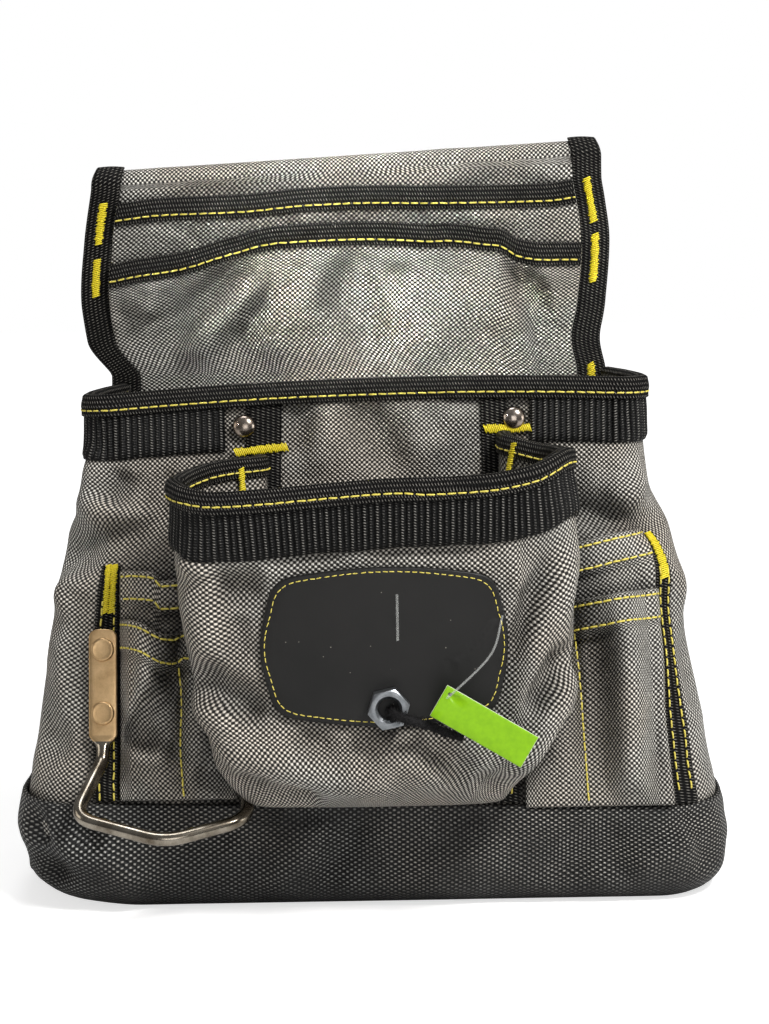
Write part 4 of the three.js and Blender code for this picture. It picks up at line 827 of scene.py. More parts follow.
class Shader:
    """A material under construction: small helpers round its node tree."""

    def __init__(self, name, roughness=0.5, metallic=0.0, specular=0.5):
        self.material = bpy.data.materials.new(name)
        self.material.use_nodes = True
        self.tree = self.material.node_tree
        self.make = node_maker(self.tree)
        self.shader = self.tree.nodes["Principled BSDF"]
        self.shader.inputs["Roughness"].default_value = roughness
        self.shader.inputs["Metallic"].default_value = metallic
        self.shader.inputs["Specular IOR Level"].default_value = specular

    def math(self, operation, a, b=0.0, c=0.0, clamp=False):
        return self.make("ShaderNodeMath", a, b, c, operation=operation, use_clamp=clamp).outputs[0]

    def times(self, a, b):
        return self.math("MULTIPLY", a, b)

    def plus(self, a, b):
        return self.math("ADD", a, b)

    def uv(self):
        split = self.make("ShaderNodeSeparateXYZ", self.make("ShaderNodeUVMap").outputs[0])
        return split.outputs[0], split.outputs[1]

    def place(self, scale=1000.0):
        """The place on the object in millimetres."""
        coordinates = self.make("ShaderNodeTexCoord").outputs["Object"]
        return self.make("ShaderNodeVectorMath", coordinates, None, None, scale, operation="SCALE").outputs[0]

    def noise(self, vector, scale, detail=2.0, rough=0.5):
        node = self.make("ShaderNodeTexNoise")
        self.tree.links.new(vector, node.inputs["Vector"])
        node.inputs["Scale"].default_value = scale
        node.inputs["Detail"].default_value = detail
        node.inputs["Roughness"].default_value = rough
        return node.outputs["Fac"]

    def ramp(self, value, stops):
        node = self.make("ShaderNodeValToRGB", value)
        ramp = node.color_ramp
        for index, (place, colour) in enumerate(stops):
            stop = ramp.elements[index] if index < 2 else ramp.elements.new(place)
            stop.position = place
            stop.color = linear(colour)
        return node.outputs[0]

    def tones(self, value, low, high):
        """A colour between two, as the value goes from 0 to 1."""
        return self.ramp(value, ((0.0, low), (1.0, high)))

    def span(self, value, low, high, to_low=0.0, to_high=1.0):
        return self.make("ShaderNodeMapRange", value, low, high, to_low, to_high).outputs[0]

    def mix(self, share, a, b, blend="MIX"):
        node = self.tree.nodes.new("ShaderNodeMix")
        node.data_type = "RGBA"
        node.blend_type = blend
        for socket, value in zip((node.inputs[0], node.inputs[6], node.inputs[7]), (share, a, b)):
            if isinstance(value, bpy.types.NodeSocket):
                self.tree.links.new(value, socket)
            else:
                socket.default_value = value
        return node.outputs[2]

    def bump(self, height, distance, strength=1.0):
        node = self.make("ShaderNodeBump")
        node.inputs["Strength"].default_value = strength
        node.inputs["Distance"].default_value = distance * MM
        self.tree.links.new(height, node.inputs["Height"])
        return node.outputs[0]

    def shade(self, colour, level):
        """A colour made lighter or darker by a share."""
        grey = self.make("ShaderNodeCombineColor", level, level, level).outputs[0]
        return self.mix(1.0, colour, grey, "MULTIPLY")

    def painted_crevice_shade(self, colour, reach, depth):
        """Painted shade: darkens a colour in folds and beside edges, where other surfaces crowd in."""
        node = self.make("ShaderNodeAmbientOcclusion", samples=6)
        node.inputs["Distance"].default_value = reach * MM
        return self.shade(colour, self.span(node.outputs["AO"], 0.2, 0.95, depth, 1.0))

    def finish(self, colour=None, roughness=None, normal=None):
        for key, value in (("Base Color", colour), ("Roughness", roughness), ("Normal", normal)):
            if value is None:
                continue
            if isinstance(value, bpy.types.NodeSocket):
                self.tree.links.new(value, self.shader.inputs[key])
            else:
                self.shader.inputs[key].default_value = value
        return self.material


def linear(colour):
    """A colour written as sRGB from 0 to 255, as the shader's linear values."""
    share = [c / 255 for c in colour]
    values = [c / 12.92 if c <= 0.04045 else ((c + 0.055) / 1.055) ** 2.4 for c in share]
    return (*values, 1.0)


def woven(name, dark, middle, light, pitch, depth, roughness, bands, stops, warm=(1.0, 0.965, 0.92)):
    """Ballistic weave: staggered floats of thick yarn, each a small shiny pillow, with uneven yarns, a
    painted highlight on each float and painted shade between them.
    """
    s = Shader(name, roughness, specular=0.4)
    u, v = s.uv()
    place = s.place()
    sway = s.times(s.math("SUBTRACT", s.noise(place, 0.1, 2), 0.5), 1.2)
    across = s.math("SINE", s.times(s.plus(u, sway), math.pi / pitch[0]))
    upward = s.math("SINE", s.times(s.plus(v, sway), math.pi / pitch[1]))
    weave = s.times(across, upward)
    yarn = s.math("SUBTRACT", s.noise(place, 1.1, 2, 0.6), 0.5)
    height = s.plus(weave, s.times(yarn, 0.7))
    # Painted highlight and shade: the light tone on the floats' crowns and the dark tone in the gaps stand in
    # for the weave's sheen and shade, over its own pattern of floats
    colour = s.ramp(s.span(height, -1.0, 1.0), ((stops[0], dark), (stops[2], light), (stops[1], middle)))
    cloud = s.noise(place, 0.05, 3, 0.55)
    # Uneven tone from place to place, which also makes the painted highlights brighter or dimmer
    colour = s.shade(colour, s.span(cloud, 0.35, 0.65, bands[0], bands[1]))
    tint = s.mix(s.span(s.noise(place, 0.02, 2), 0.42, 0.58), (0.98, 1, 1, 1), (*warm, 1))
    # Painted shade in folds and beside edges
    colour = s.painted_crevice_shade(s.mix(1.0, colour, tint, "MULTIPLY"), 34.0, 0.1)
    rough = s.span(height, -1.0, 1.0, roughness + 0.25, roughness - 0.08)
    return s.finish(colour, rough, s.bump(height, depth, 1.0))


def ribbed(name, dark, middle, light, pitch, depth, roughness=0.6, slant=0.0, cross=0.9):
    """Narrow woven trim: ribs across its length, broken by the weft's small floats, with a painted highlight
    on the ribs and painted shade between them.
    """
    s = Shader(name, roughness, specular=0.14)
    u, v = s.uv()
    place = s.place()
    lean = s.plus(u, s.times(v, slant))
    rib = s.math("SINE", s.times(lean, 2 * math.pi / pitch))
    floats = s.math("SINE", s.times(v, 2 * math.pi / cross))
    weave = s.plus(s.times(rib, 0.7), s.times(s.times(rib, floats), 0.3))
    lint = s.noise(place, 1.6, 3, 0.6)
    height = s.plus(weave, s.times(s.math("SUBTRACT", lint, 0.5), 0.7))
    # Painted highlight and shade: the light tone on rib crowns and the dark tone in the valleys stand in for
    # the ribs' sheen and shade, over their own pattern
    colour = s.ramp(s.span(height, -1.0, 1.1), ((0.3, dark), (1.0, light), (0.73, middle)))
    colour = s.shade(colour, s.span(s.noise(place, 0.07, 3), 0.35, 0.65, 0.75, 1.2))
    # Painted shade in creases and beside edges
    return s.finish(s.painted_crevice_shade(colour, 6.0, 0.3), roughness, s.bump(height, depth, 0.9))


def webbing(name, dark, middle, light, depth, roughness=0.5):
    """Heavy webbing: ribs up its width, each of small slanted floats, every other rib duller, with a painted
    highlight on the ribs and painted shade between them.
    """
    s = Shader(name, roughness, specular=0.22)
    u, v = s.uv()
    place = s.place()
    rib = s.math("ABSOLUTE", s.math("COSINE", s.times(u, math.pi / RIB_PITCH)))
    dull = s.math("COSINE", s.times(u, math.pi / RIB_PITCH))
    lean = s.plus(v, s.times(u, 0.35))
    floats = s.math("SINE", s.times(lean, 2 * math.pi / 1.1))
    lint = s.math("SUBTRACT", s.noise(place, 1.2, 3, 0.6), 0.5)
    height = s.plus(s.times(rib, 0.6), s.times(s.times(floats, rib), 0.5))
    height = s.plus(height, s.times(lint, 0.7))
    value = s.plus(height, s.times(dull, 0.1))
    # Painted highlight and shade: the light tone on the ribs' floats and the dark tone in the valleys stand
    # in for the webbing's sheen and shade, over its own pattern
    colour = s.ramp(s.span(value, 0.0, 1.2), ((0.3, dark), (1.0, light), (0.68, middle)))
    # Painted shade in creases and beside edges
    return s.finish(s.painted_crevice_shade(colour, 3.0, 0.3), roughness, s.bump(height, depth, 0.9))


def thread_material(name, colour, shade):
    s = Shader(name, 0.5, specular=0.5)
    place = s.place()
    twist = s.noise(place, 2.2, 2, 0.6)
    colour = s.tones(s.span(twist, 0.3, 0.7), shade, colour)
    return s.finish(colour, 0.5, s.bump(twist, 0.1, 0.6))


def brushed(name, colour, shade, roughness, scratch=0.04):
    """Bright metal with faint draw marks, smudges and small dull spots."""
    s = Shader(name, roughness, 1.0)
    place = s.place()
    smudge = s.noise(place, 0.14, 4, 0.6)
    fine = s.noise(place, 1.4, 3, 0.7)
    tone = s.plus(s.times(smudge, 0.8), s.times(fine, 0.25))
    colour = s.tones(s.span(tone, 0.35, 0.75), shade, colour)
    rough = s.span(tone, 0.35, 0.8, roughness + 0.12, roughness - 0.04)
    return s.finish(colour, rough, s.bump(fine, scratch, 0.5))


def vinyl(name):
    """Soft black vinyl with a fine grain, specks of dust and worn, duller places."""
    s = Shader(name, 0.42, specular=0.4)
    place = s.place()
    grain = s.noise(place, 1.1, 3, 0.6)
    cloud = s.noise(place, 0.03, 3, 0.5)
    colour = s.tones(s.span(cloud, 0.3, 0.7), (12, 12, 11), (22, 21, 20))
    speck = s.make("ShaderNodeTexVoronoi")
    s.tree.links.new(place, speck.inputs["Vector"])
    speck.inputs["Scale"].default_value = 0.16
    dust = s.span(speck.outputs["Distance"], 0.045, 0.02)
    colour = s.mix(s.times(dust, 0.7), colour, linear((170, 165, 155)))
    rough = s.span(cloud, 0.3, 0.7, 0.5, 0.36)
    return s.finish(colour, rough, s.bump(grain, 0.05, 0.5))


def plastic_tag():
    """Printed green card: a green face, pale cut edges."""
    s = Shader("tag_card", 0.45, specular=0.4)
    place = s.place()
    normal = s.make("ShaderNodeNewGeometry").outputs["True Normal"]
    to_front = s.make("ShaderNodeSeparateXYZ", normal).outputs[1]
    facing = s.span(s.math("ABSOLUTE", to_front), 0.5, 0.7)
    print_noise = s.noise(place, 0.5, 3)
    green = s.tones(s.span(print_noise, 0.3, 0.7), (130, 186, 0), (142, 198, 2))
    colour = s.mix(facing, linear((236, 240, 222)), green)
    return s.finish(colour, 0.42, s.bump(s.noise(place, 1.2, 2), 0.02, 0.4))


def clear_nylon():
    s = Shader("clear_nylon", 0.12, specular=0.5)
    s.shader.inputs["Alpha"].default_value = 0.18
    tone = s.noise(s.place(), 0.6, 2)
    return s.finish(s.tones(tone, (205, 208, 205), (240, 242, 240)), 0.15)


def fuzz_yarn():
    s = Shader("fuzz_yarn", 0.9, specular=0.2)
    tone = s.noise(s.place(), 1.5, 3, 0.7)
    colour = s.tones(s.span(tone, 0.3, 0.7), (12, 12, 13), (42, 41, 42))
    return s.finish(colour, 0.9, s.bump(tone, 0.4, 1.0))


def foam_material():
    s = Shader("foam_black", 0.9)
    tone = s.noise(s.place(), 1.0, 3, 0.7)
    return s.finish(s.tones(tone, (40, 40, 40), (72, 72, 72)), 0.9, s.bump(tone, 0.2, 0.8))


# The light tones of the cloths, binding, webbing and tape are painted highlights on floats and ribs, and the
# dark tones painted shade between them
grey_cloth = woven("grey_cloth", (10, 9, 8), (92, 87, 81), (248, 243, 235), pitch=(1.12, 1.02), depth=0.42,
                   roughness=0.38, bands=(0.85, 1.1), stops=(0.22, 0.5, 0.78))
black_cloth = woven("black_cloth", (2, 2, 2), (6, 6, 6), (190, 188, 184), pitch=(1.65, 1.0), depth=0.4,
                    roughness=0.36, bands=(0.6, 1.3), stops=(0.35, 0.62, 1.0))
binding_black = ribbed("binding_black", (1, 1, 1), (7, 7, 6), (150, 146, 139), 1.2, 0.3, slant=0.45,
                       cross=1.9)
webbing_black = webbing("webbing_black", (1, 1, 1), (6, 6, 6), (150, 147, 141), 0.35)
tape_black = ribbed("tape_black", (1, 1, 1), (8, 8, 7), (152, 148, 141), 1.2, 0.3, slant=0.3, cross=2.1)
yellow_thread = thread_material("yellow_thread", (252, 238, 122), (212, 190, 60))
bright_thread = thread_material("bright_thread", (255, 240, 52), (216, 190, 22))
nickel = brushed("nickel", (196, 186, 176), (128, 112, 98), 0.16)
plate_steel = brushed("plate_steel", (232, 198, 150), (190, 156, 112), 0.34)
chrome_wire = brushed("chrome_wire", (190, 182, 168), (104, 94, 80), 0.13)
zinc = brushed("zinc_nut", (178, 182, 186), (120, 124, 128), 0.32, 0.1)
magnet_nickel = brushed("magnet_nickel", (170, 170, 172), (130, 130, 132), 0.3)
patch_vinyl = vinyl("patch_vinyl")
tag_card = plastic_tag()
nylon = clear_nylon()
yarn = fuzz_yarn()
foam = foam_material()

make_camera()


# Cords come before the rest
def seat(foot, tip, turn=0.0):
    """The place and turn of a piece seated on a surface, its own Z along the outward normal."""
    normal = unit(tip - foot)
    right = unit(np.array([1.0, 0, 0]) - normal * normal[0])
    up = np.cross(normal, right)
    c, s = math.cos(turn), math.sin(turn)
    return np.stack([right * c + up * s, up * c - right * s, normal], axis=-1), foot


def seated(local, frame_at):
    basis, origin = frame_at
    return local @ basis.T + origin


PATCH_FACE = SEAM + PATCH
nut_foot = pocket_at(NUT_X, NUT_Z, PATCH_FACE + NUT_STAND, False)
nut_tip = pocket_at(NUT_X, NUT_Z, PATCH_FACE + NUT_STAND + 1, False)
nut_seat = seat(nut_foot, nut_tip, math.radians(NUT_TURN))
cord_seat = seat(nut_foot, nut_tip)
tag_foot = pocket_at(PATCH_X, NUT_Z, PATCH_FACE + TAG_STANDOFF, False)
tag_tip = pocket_at(PATCH_X, NUT_Z, PATCH_FACE + TAG_STANDOFF + 1, False)
tag_seat = seat(tag_foot, tag_tip, math.radians(-TAG_TILT))
tag_seat = (tag_seat[0], np.array([TAG_X, tag_foot[1], TAG_Z]))


CORD_STEPS, FUZZ_COUNT = 90, 700


def nut_cord():
    """A fuzzy black cord from the nut's bore, over its rim and away under the tag."""
    route = seated(np.array(CORD_ROUTE), cord_seat)
    path = catmull(route, CORD_STEPS)
    s = np.linspace(0, 1, len(path))
    radius = CORD / 2 * (0.93 + 0.05 * noise(s * 60, 0, 1.3, 31))
    piece = loft("fuzzy_cord", tube_rings(path, radius, 16), yarn, None)
    rng = np.random.default_rng(32)
    count = FUZZ_COUNT
    at = rng.uniform(1, len(path) - 2, count).astype(int)
    tangent, a, b = transport(path)
    angle = rng.uniform(0, 2 * math.pi, count)[:, None]
    out = a[at] * np.cos(angle) + b[at] * np.sin(angle)
    lean = unit(out + tangent[at] * rng.uniform(-0.9, 0.9, (count, 1)) + rng.normal(0, 0.3, (count, 3)))
    length = rng.uniform(0.8, 2.2, (count, 1))
    starts = path[at] + out * CORD * 0.42
    ends = starts + lean * length
    normals = unit(np.cross(lean, rng.normal(0, 1, (count, 3))))
    fuzz = threads("cord_fuzz", [stitch_rings(starts, ends, normals, 0.07, 0.2)], yarn, None)
    for blended in (piece, fuzz):
        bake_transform(blended)
    return piece, fuzz, path


cord_piece, cord_fuzz, cord_path = nut_cord()


def filament_path():
    end = pocket_at(FILAMENT_X, FILAMENT_Z, PATCH_FACE + SEAM + FILAMENT / 2, False)
    corner = np.array([-TAG_LENGTH / 2 + TAG_HOLE_INSET, TAG_WIDTH / 2 - TAG_HOLE_INSET, 0])
    hole = seated(corner, tag_seat)
    behind = hole + np.array([0, 2 * FILAMENT, 0])
    front = hole - np.array([0, 2 * FILAMENT, 0])
    middle = np.array([lerp(hole[0], end[0], 0.75), lerp(front[1], end[1], 0.5), lerp(hole[2], end[2], 0.5)])
    return catmull([behind, front, middle, end], 60)


filament = filament_path()
filament_piece = loft("clear_filament", tube_rings(filament, FILAMENT / 2, 12), nylon, "tag")


def hang_tag():
    """A thin printed card with slightly rounded corners, edges and a round hole."""
    half_x, half_y, half_z = TAG_LENGTH / 2, TAG_WIDTH / 2, TAG_THICKNESS / 2
    corner = 0.5
    turn = math.atan2(half_y - corner, half_x - corner)
    stops = [-turn, turn, math.pi - turn, math.pi + turn, 2 * math.pi - turn]
    angle = np.concatenate([np.linspace(a, b, 25)[:-1] for a, b in zip(stops[:-1], stops[1:])])
    c, s = np.cos(angle), np.sin(angle)
    reach = 1 / np.maximum(np.abs(c) / (half_x - corner), np.abs(s) / (half_y - corner))
    inner = np.stack([c * reach, s * reach], axis=-1)
    push = np.stack([np.sign(c) * (np.abs(inner[:, 0]) > half_x - corner - 1e-6),
                     np.sign(s) * (np.abs(inner[:, 1]) > half_y - corner - 1e-6)], axis=-1)
    outline = inner + push * corner
    hole_at = np.array([-half_x + TAG_HOLE_INSET, half_y - TAG_HOLE_INSET])
    hole = hole_at + (FILAMENT / 2 + SEAM) * np.stack([c, s], axis=-1)
    levels = [(0.0, 1), (0.25, 1), (0.6, 1), (0.97, 1), (0.995, 0.8), (1.0, 0.3)]
    levels += [(share, -height) for share, height in levels[::-1]]
    rings = [points(*lerp(hole, outline, share).T, half_z * height) for share, height in levels]
    rings = seated(np.array(rings), tag_seat)
    n, k = rings.shape[:2]
    vertices = rings.reshape(-1, 3)
    quads = grid_quads(n, k, closed=True, round_way=True)[:, TURNED]
    return build("tag_card", vertices, quads, tag_card, "tag")


tag_piece = hang_tag()
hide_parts("hang_tag")

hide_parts("nut_cord")
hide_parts("tag_filament")


# Main pocket
def even_stops(line_at, last, step):
    """Places from 0 to the last one, evenly spaced on the line that they are on."""
    u = np.linspace(0, last, 2000)
    length = run_along(line_at(u))
    return np.interp(np.linspace(0, length[-1], int(length[-1] / step)), length, u)


def wall_stops(step=1.5):
    return even_stops(lambda u: wall(u, 120.0), WALL_LAST, step)


def main_wall():
    u = wall_stops()[:, None]
    share = np.linspace(0, 1, 125)[None]
    z = lerp(SEAM_Z - SEAM_OVERLAP, rim_z(u), share)
    piece = shell("pocket_cloth", on_wall(u, z, 0), on_wall(u, z, -CLOTH), grey_cloth)
    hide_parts("main_pocket_wall")


OVER_WEBBING = SEAM + WEBBING + SEAM


def binding_section(outside, inside, width, roll=0.5):
    """A U folded over an edge: distances outside the host and rises above the edge, round its section."""
    outside = np.atleast_1d(np.asarray(outside, float))[:, None]
    top = SEAM + BINDING
    legs = np.linspace(-width, -0.6, 9)
    share = (legs + width) / width
    swell = roll * np.sin(math.pi * np.clip(share * 1.15 - 0.1, 0, 1))
    swell = swell - 0.3 * np.exp(-((legs + width - 2.4) / 0.7) ** 2)
    outer = outside + BINDING + swell[None]
    back = -inside - SEAM - BINDING - swell[None] * 0.7
    angle = np.linspace(0, math.pi, 11)[1:-1]
    crown_at = (outside + BINDING - inside - SEAM - BINDING) / 2
    reach = (outside + BINDING + inside + SEAM + BINDING) / 2 + 0.15
    crown = crown_at + reach * np.cos(angle)[None]
    ones = np.ones_like(outside)
    d = np.concatenate([
        outer, crown, back[:, ::-1] * ones,
        (-inside - SEAM - BINDING * 0.5) * ones, (-inside - SEAM) * ones, (-inside - SEAM) * ones,
        outside, outside, outside + BINDING * 0.5,
    ], axis=1)
    rise = np.concatenate([
        legs, -0.3 + (top + 0.3) * np.sin(angle), legs[::-1], [-width - 0.25, -width + 0.1, SEAM * 0.5],
        [SEAM * 0.5, -width + 0.1, -width - 0.25],
    ])
    return d, np.broadcast_to(rise[None], d.shape)


def length_uv(rings):
    """Lengths along and round the rings of a trim, for its ribs."""
    return pairs(run_along(rings.mean(axis=1)), run_along(rings[len(rings) // 2]))


PLAIN_LEFT = wall_u(-(INNER_TAPE[-1][0] - INNER_TAPE_WIDTH), RIM_Z)
PLAIN_RIGHT = wall_u(INNER_TAPE[1][0] - INNER_TAPE_WIDTH, RIM_Z)
WEBBING_END = {side: wall_u(side * WEBBING_INNER[side], RIM_Z) for side in SIDES}
RAMP_U = (PLAIN_LEFT - WEBBING_END[-1]) / 4


def rim_gap(u):
    plain = smooth((u - PLAIN_LEFT) / RAMP_U) * smooth((PLAIN_RIGHT - u) / RAMP_U)
    return lerp(OVER_WEBBING, SEAM, plain)


def rim_stops():
    u = wall_stops(1.2)
    first, last = RIM_END_SHARE, WALL_LAST - RIM_END_SHARE
    return np.concatenate([[first], u[(u > first + 0.01) & (u < last - 0.01)], [last]])


def main_rim():
    u = rim_stops()
    d, rise = binding_section(rim_gap(u), CLOTH, RIM_LEG)
    wander = 0.25 * noise(u * WALL_UNIT, 0, 9, 41)[:, None]
    rings = on_wall(u[:, None], rim_z(u)[:, None] + rise * (1 + 0.02 * wander), d + wander * 0.5)
    piece = loft("rim_trim", rings, binding_black, uv=length_uv(rings))
    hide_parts("main_rim_binding")
    stitches = []
    height = rim_z(u) - RIM_LEG + 2.3
    for d_at, inward in ((rim_gap(u) + BINDING - 0.1, 1), (-CLOTH - SEAM - BINDING + 0.1, -1)):
        path = on_wall(u, height, d_at + wander[:, 0] * 0.5 * inward)
        normals = wall_normal(u, height) * inward
        stitches.append(stitch_line(path, normals))
    return stitches


def ribs(run):
    return RIB_DEPTH * np.abs(np.cos(math.pi * run / RIB_PITCH))[:, None] ** 0.6


def webbing_edge(rows):
    """1 on the webbing's face, 0 at its two long edges."""
    return np.minimum(smooth(rows / 0.09), smooth((1 - rows) / 0.06))[None]


def rim_webbing(side):
    """Ribbed webbing under the rim: real ribs, a plain end piece at the back."""
    inner_end, outer_end = WEBBING_END[side], (RIM_END_SHARE if side < 0 else WALL_LAST - RIM_END_SHARE)
    u = np.linspace(min(inner_end, outer_end), max(inner_end, outer_end), 600)
    middle = wall(u, RIM_Z - WEBBING_WIDTH / 2)
    run = run_along(middle)
    if side > 0:
        run = run[-1] - run
    rows = np.linspace(0, 1, 16)
    below = 1 - rows[None]
    z = rim_z(u)[:, None] - WEBBING_WIDTH * below + 0.2 * noise(run, 0, 7, 43)[:, None] * below
    plain = smooth((run - 8) / 1.5)[:, None]
    edge = webbing_edge(rows)
    relief = (ribs(run) * plain + (1 - plain) * 0.4) * edge - 0.35 * (1 - edge)
    name = SIDES[side]
    uv = np.stack(np.broadcast_arrays(run[:, None], WEBBING_WIDTH * rows[None]), axis=-1)
    outer = on_wall(u[:, None], z, SEAM + WEBBING * 0.75 + relief)
    inner = on_wall(u[:, None], z, SEAM)
    piece = shell(f"ribbed_webbing_{name}", outer, inner, webbing_black, uv=uv, swell=0.35)
    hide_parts(f"rim_webbing_{name}")


def tape_x(side, z):
    top, foot = INNER_TAPE[side]
    return lerp(foot, top, (z - SEAM_Z) / (RIM_Z - SEAM_Z))


def outer_tape_x(side, z):
    top, foot = OUTER_TAPE[side]
    return lerp(foot, top, (z - SEAM_Z) / (OUTER_HEAD[side] - SEAM_Z))


def tape_draw(side, z):
    """How far the outer tape's left edge is tucked away, more towards its head."""
    return curve(TAPE_DRAW[side], (z - SEAM_Z) / (OUTER_HEAD[side] - SEAM_Z))


def wall_tape(name, side, x_at, width, head, node, drawn=False):
    low = seam_z(side * x_at(side, SEAM_Z)) + SEAM + BINDING
    z = np.linspace(low, head, 150)[None]
    across = np.linspace(-1, 1, 13)[:, None]
    x = side * x_at(side, z) + across * width / 2
    tuck = tape_draw(side, z) if drawn else INNER_TAPE_TUCK[side]
    x = x + tuck * (1 - across) / 2
    edge = smooth((1 - np.abs(across)) / 0.16)
    relief = 0.12 * edge - 0.3 * (1 - edge) + 0.12 * np.abs(np.cos(math.pi * z / 1.5)) * edge
    u = wall_u(x, z)
    outer = on_wall(u, z, SEAM + TAPE * 0.85 + relief)
    inner = on_wall(u, z, SEAM)
    uv = grid_uv(outer)[..., ::-1]
    piece = shell(name, outer, inner, tape_black, uv=uv, swell=0.3)
    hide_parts(node)


def wall_path(side, x_at, z, d):
    """A line up the wall at x_at and its normals."""
    x = side * x_at(side, z)
    u = wall_u(x, z)
    return on_wall(u, z, d), wall_normal(u, z)


def outer_line(shift, share):
    """A line up an outer tape, so far beside its middle and moved by a share of what its edge is drawn in."""
    def at(side, z):
        return outer_tape_x(side, z) + side * (shift + tape_draw(side, z) * share)

    return at


def inner_line(shift):
    """A line up an inner tape, so far beside its middle."""
    return lambda side, z: tape_x(side, z) + shift


# The tapes' stitches, and the outer tapes' tacks: their length, and the place and width of each
TAPE_STITCHES = {"pitch": 4.2, "length": 3.4}
OUTER_TACK = 18.5
OUTER_TACKS = {-1: ((-1.0, 2.4), (1.4, 2.8)), 1: ((0.0, 4.2),)}
# The tacks across the inner tapes: start and end beside the tape's middle, then the slope
INNER_TACKS = {-1: (-11.5, 9.5, 0.1), 1: (-2.6, 16.5, 0.02)}
INNER_TACK_WIDTH = 3.4
# The twin rows: how far each lies from its tape's middle, starts above the seam, stops below the outer
# tape's head, and ends above the seam on the inner tape
OUTER_ROW, INNER_ROW = 2.9, 3.5
ROW_START, ROW_STOP, INNER_ROW_END = 3.5, 14.0, 24.0


def tapes():
    """Four tapes with their twin rows of stitches and their bar tacks."""
    twin, tacks = [], []
    for side, name in SIDES.items():
        wall_tape(f"woven_inner_tape_{name}", side, tape_x, INNER_TAPE_WIDTH, RIM_Z - RIM_CROWN / 2,
                  f"inner_tape_{name}")
        head = OUTER_HEAD[side] + TAPE_HEAD_LIFT[side]
        wall_tape(f"woven_outer_tape_{name}", side, outer_tape_x, OUTER_TAPE_WIDTH, head,
                  f"outer_tape_{name}", True)
        for shift in (-1, 1):
            z = np.linspace(SEAM_Z + ROW_START, head - ROW_STOP, 120)
            at = outer_line(shift * OUTER_ROW, (1 - shift * 0.53) / 2)
            twin.append(stitch_line(*wall_path(side, at, z, SEAM + TAPE + 0.1), **TAPE_STITCHES))
            z = np.linspace(SEAM_Z + ROW_START, SEAM_Z + INNER_ROW_END, 40)
            path = wall_path(side, inner_line(shift * INNER_ROW), z, SEAM + TAPE + 0.1)
            twin.append(stitch_line(*path, **TAPE_STITCHES))
        z = np.linspace(head - OUTER_TACK, head + 0.3, 60)
        for shift, width in OUTER_TACKS[side]:
            path = wall_path(side, outer_line(shift, 0.5), z, SEAM + TAPE + 0.25)
            tacks.append(bar_tack(*path, width))
        start, stop, slope = INNER_TACKS[side]
        x = np.linspace(start, stop, 40)
        z = TAPE_TACK_Z[side] + slope * x
        u = wall_u(side * tape_x(side, z) + x, z)
        tacks.append(bar_tack(on_wall(u, z, SEAM + TAPE + 0.2), wall_normal(u, z), INNER_TACK_WIDTH))
    return twin, tacks


# Side tool pockets
def tier_place(side, z, share):
    tape = OUTER_TAPE[-1][0] if side < 0 else outer_tape_x(side, z) + tape_draw(side, z)
    return wall_u(side * lerp(TIER_INNER[side], tape - OUTER_TAPE_WIDTH / 2 - SEAM, share), z)


tier_relief = folds(TIER_FOLDS_PX, y=-55, gain=3.0)


TIER_TILTS = {
    ("rear", -1): ((0, -3.4), (0.4, -3.9), (0.62, -4.6), (0.7, -1.0), (1, -1.0)),
    ("front", -1): ((0, -0.5), (0.42, -0.4), (0.49, -2.6), (0.56, -2.8), (0.776, 1.2), (1, 3.2)),
    ("rear", 1): ((0, -5.2), (0.45, -2.4), (1, 3.4)),
    ("front", 1): ((0, 2.6), (0.45, 4.0), (1, 7.6)),
}
DIVIDER_SHARES = {-1: ((0, 0.45), (0.3, 0.47), (0.6, 0.45), (0.8, 0.47), (1, 0.44)),
                  1: ((0, 0.42), (0.5, 0.4), (1, 0.35))}


def divider(side, z):
    return curve(DIVIDER_SHARES[side], (z - tier_foot(side)) / (FRONT_TOP[side] - tier_foot(side)))


def tier_foot(side):
    return seam_z(side * OUTER_TAPE[-1][0]) + SEAM + BINDING


def tier_calm(side, share, z, top):
    sides = smooth(share / 0.12) * smooth((1 - share) / 0.12)
    return sides * smooth((z - tier_foot(side)) / 10) * (1 - 0.7 * smooth((z - top + HEM_WIDTH + 2) / 5))


def hem(z, top, share):
    """A hem's doubled cloth, the two rows of stitches drawn into it and the hollow that it leaves below."""
    down = top - z
    lift = HEM_LIFT * smooth((HEM_WIDTH + 0.8 - down) / 0.8)
    rows = np.exp(-((down - 1.6) / 0.8) ** 2) + np.exp(-((down - HEM_WIDTH + 1.0) / 0.8) ** 2)
    hollow = np.exp(-((down - HEM_WIDTH - 2.6) / 2.4) ** 2) * np.sin(math.pi * np.clip(share, 0, 1))
    return lift - 0.35 * rows - HEM_HOLLOW * hollow


def rear_offset(side, share, z, top):
    x = wall(tier_place(side, z, share), z)[..., 0]
    relief = tier_relief(x, z) * 0.25 + 0.5 * noise(x, z, 14, 51 + side)
    bulge = REAR_BULGE * np.sin(math.pi * share) * fullness(z, tier_foot(side), REAR_TOP[side])
    return SEAM + np.maximum(bulge + relief * tier_calm(side, share, z, top), 0)


def front_offset(side, share, z, top):
    split = divider(side, z)
    lobe = np.where(share < split, share / split, (share - split) / (1 - split))
    x = wall(tier_place(side, z, share), z)[..., 0]
    relief = tier_relief(x, z) + 0.6 * noise(x, z, 12, 57 + side) + 0.3 * noise(x, z, 6, 58 + side)
    valley = np.abs(np.sin(math.pi * lobe))
    bulge = FRONT_BULGE * valley ** 0.85 * fullness(z, tier_foot(side), FRONT_TOP[side])
    stand = np.maximum(bulge + relief * tier_calm(side, share, z, top) * smooth(valley / 0.4), 0)
    rear = rear_offset(side, share, z, np.full_like(z, REAR_TOP[side]))
    return rear + CLOTH + HEM_LIFT * smooth((z - REAR_TOP[side] + 16) / 4) + SEAM + stand


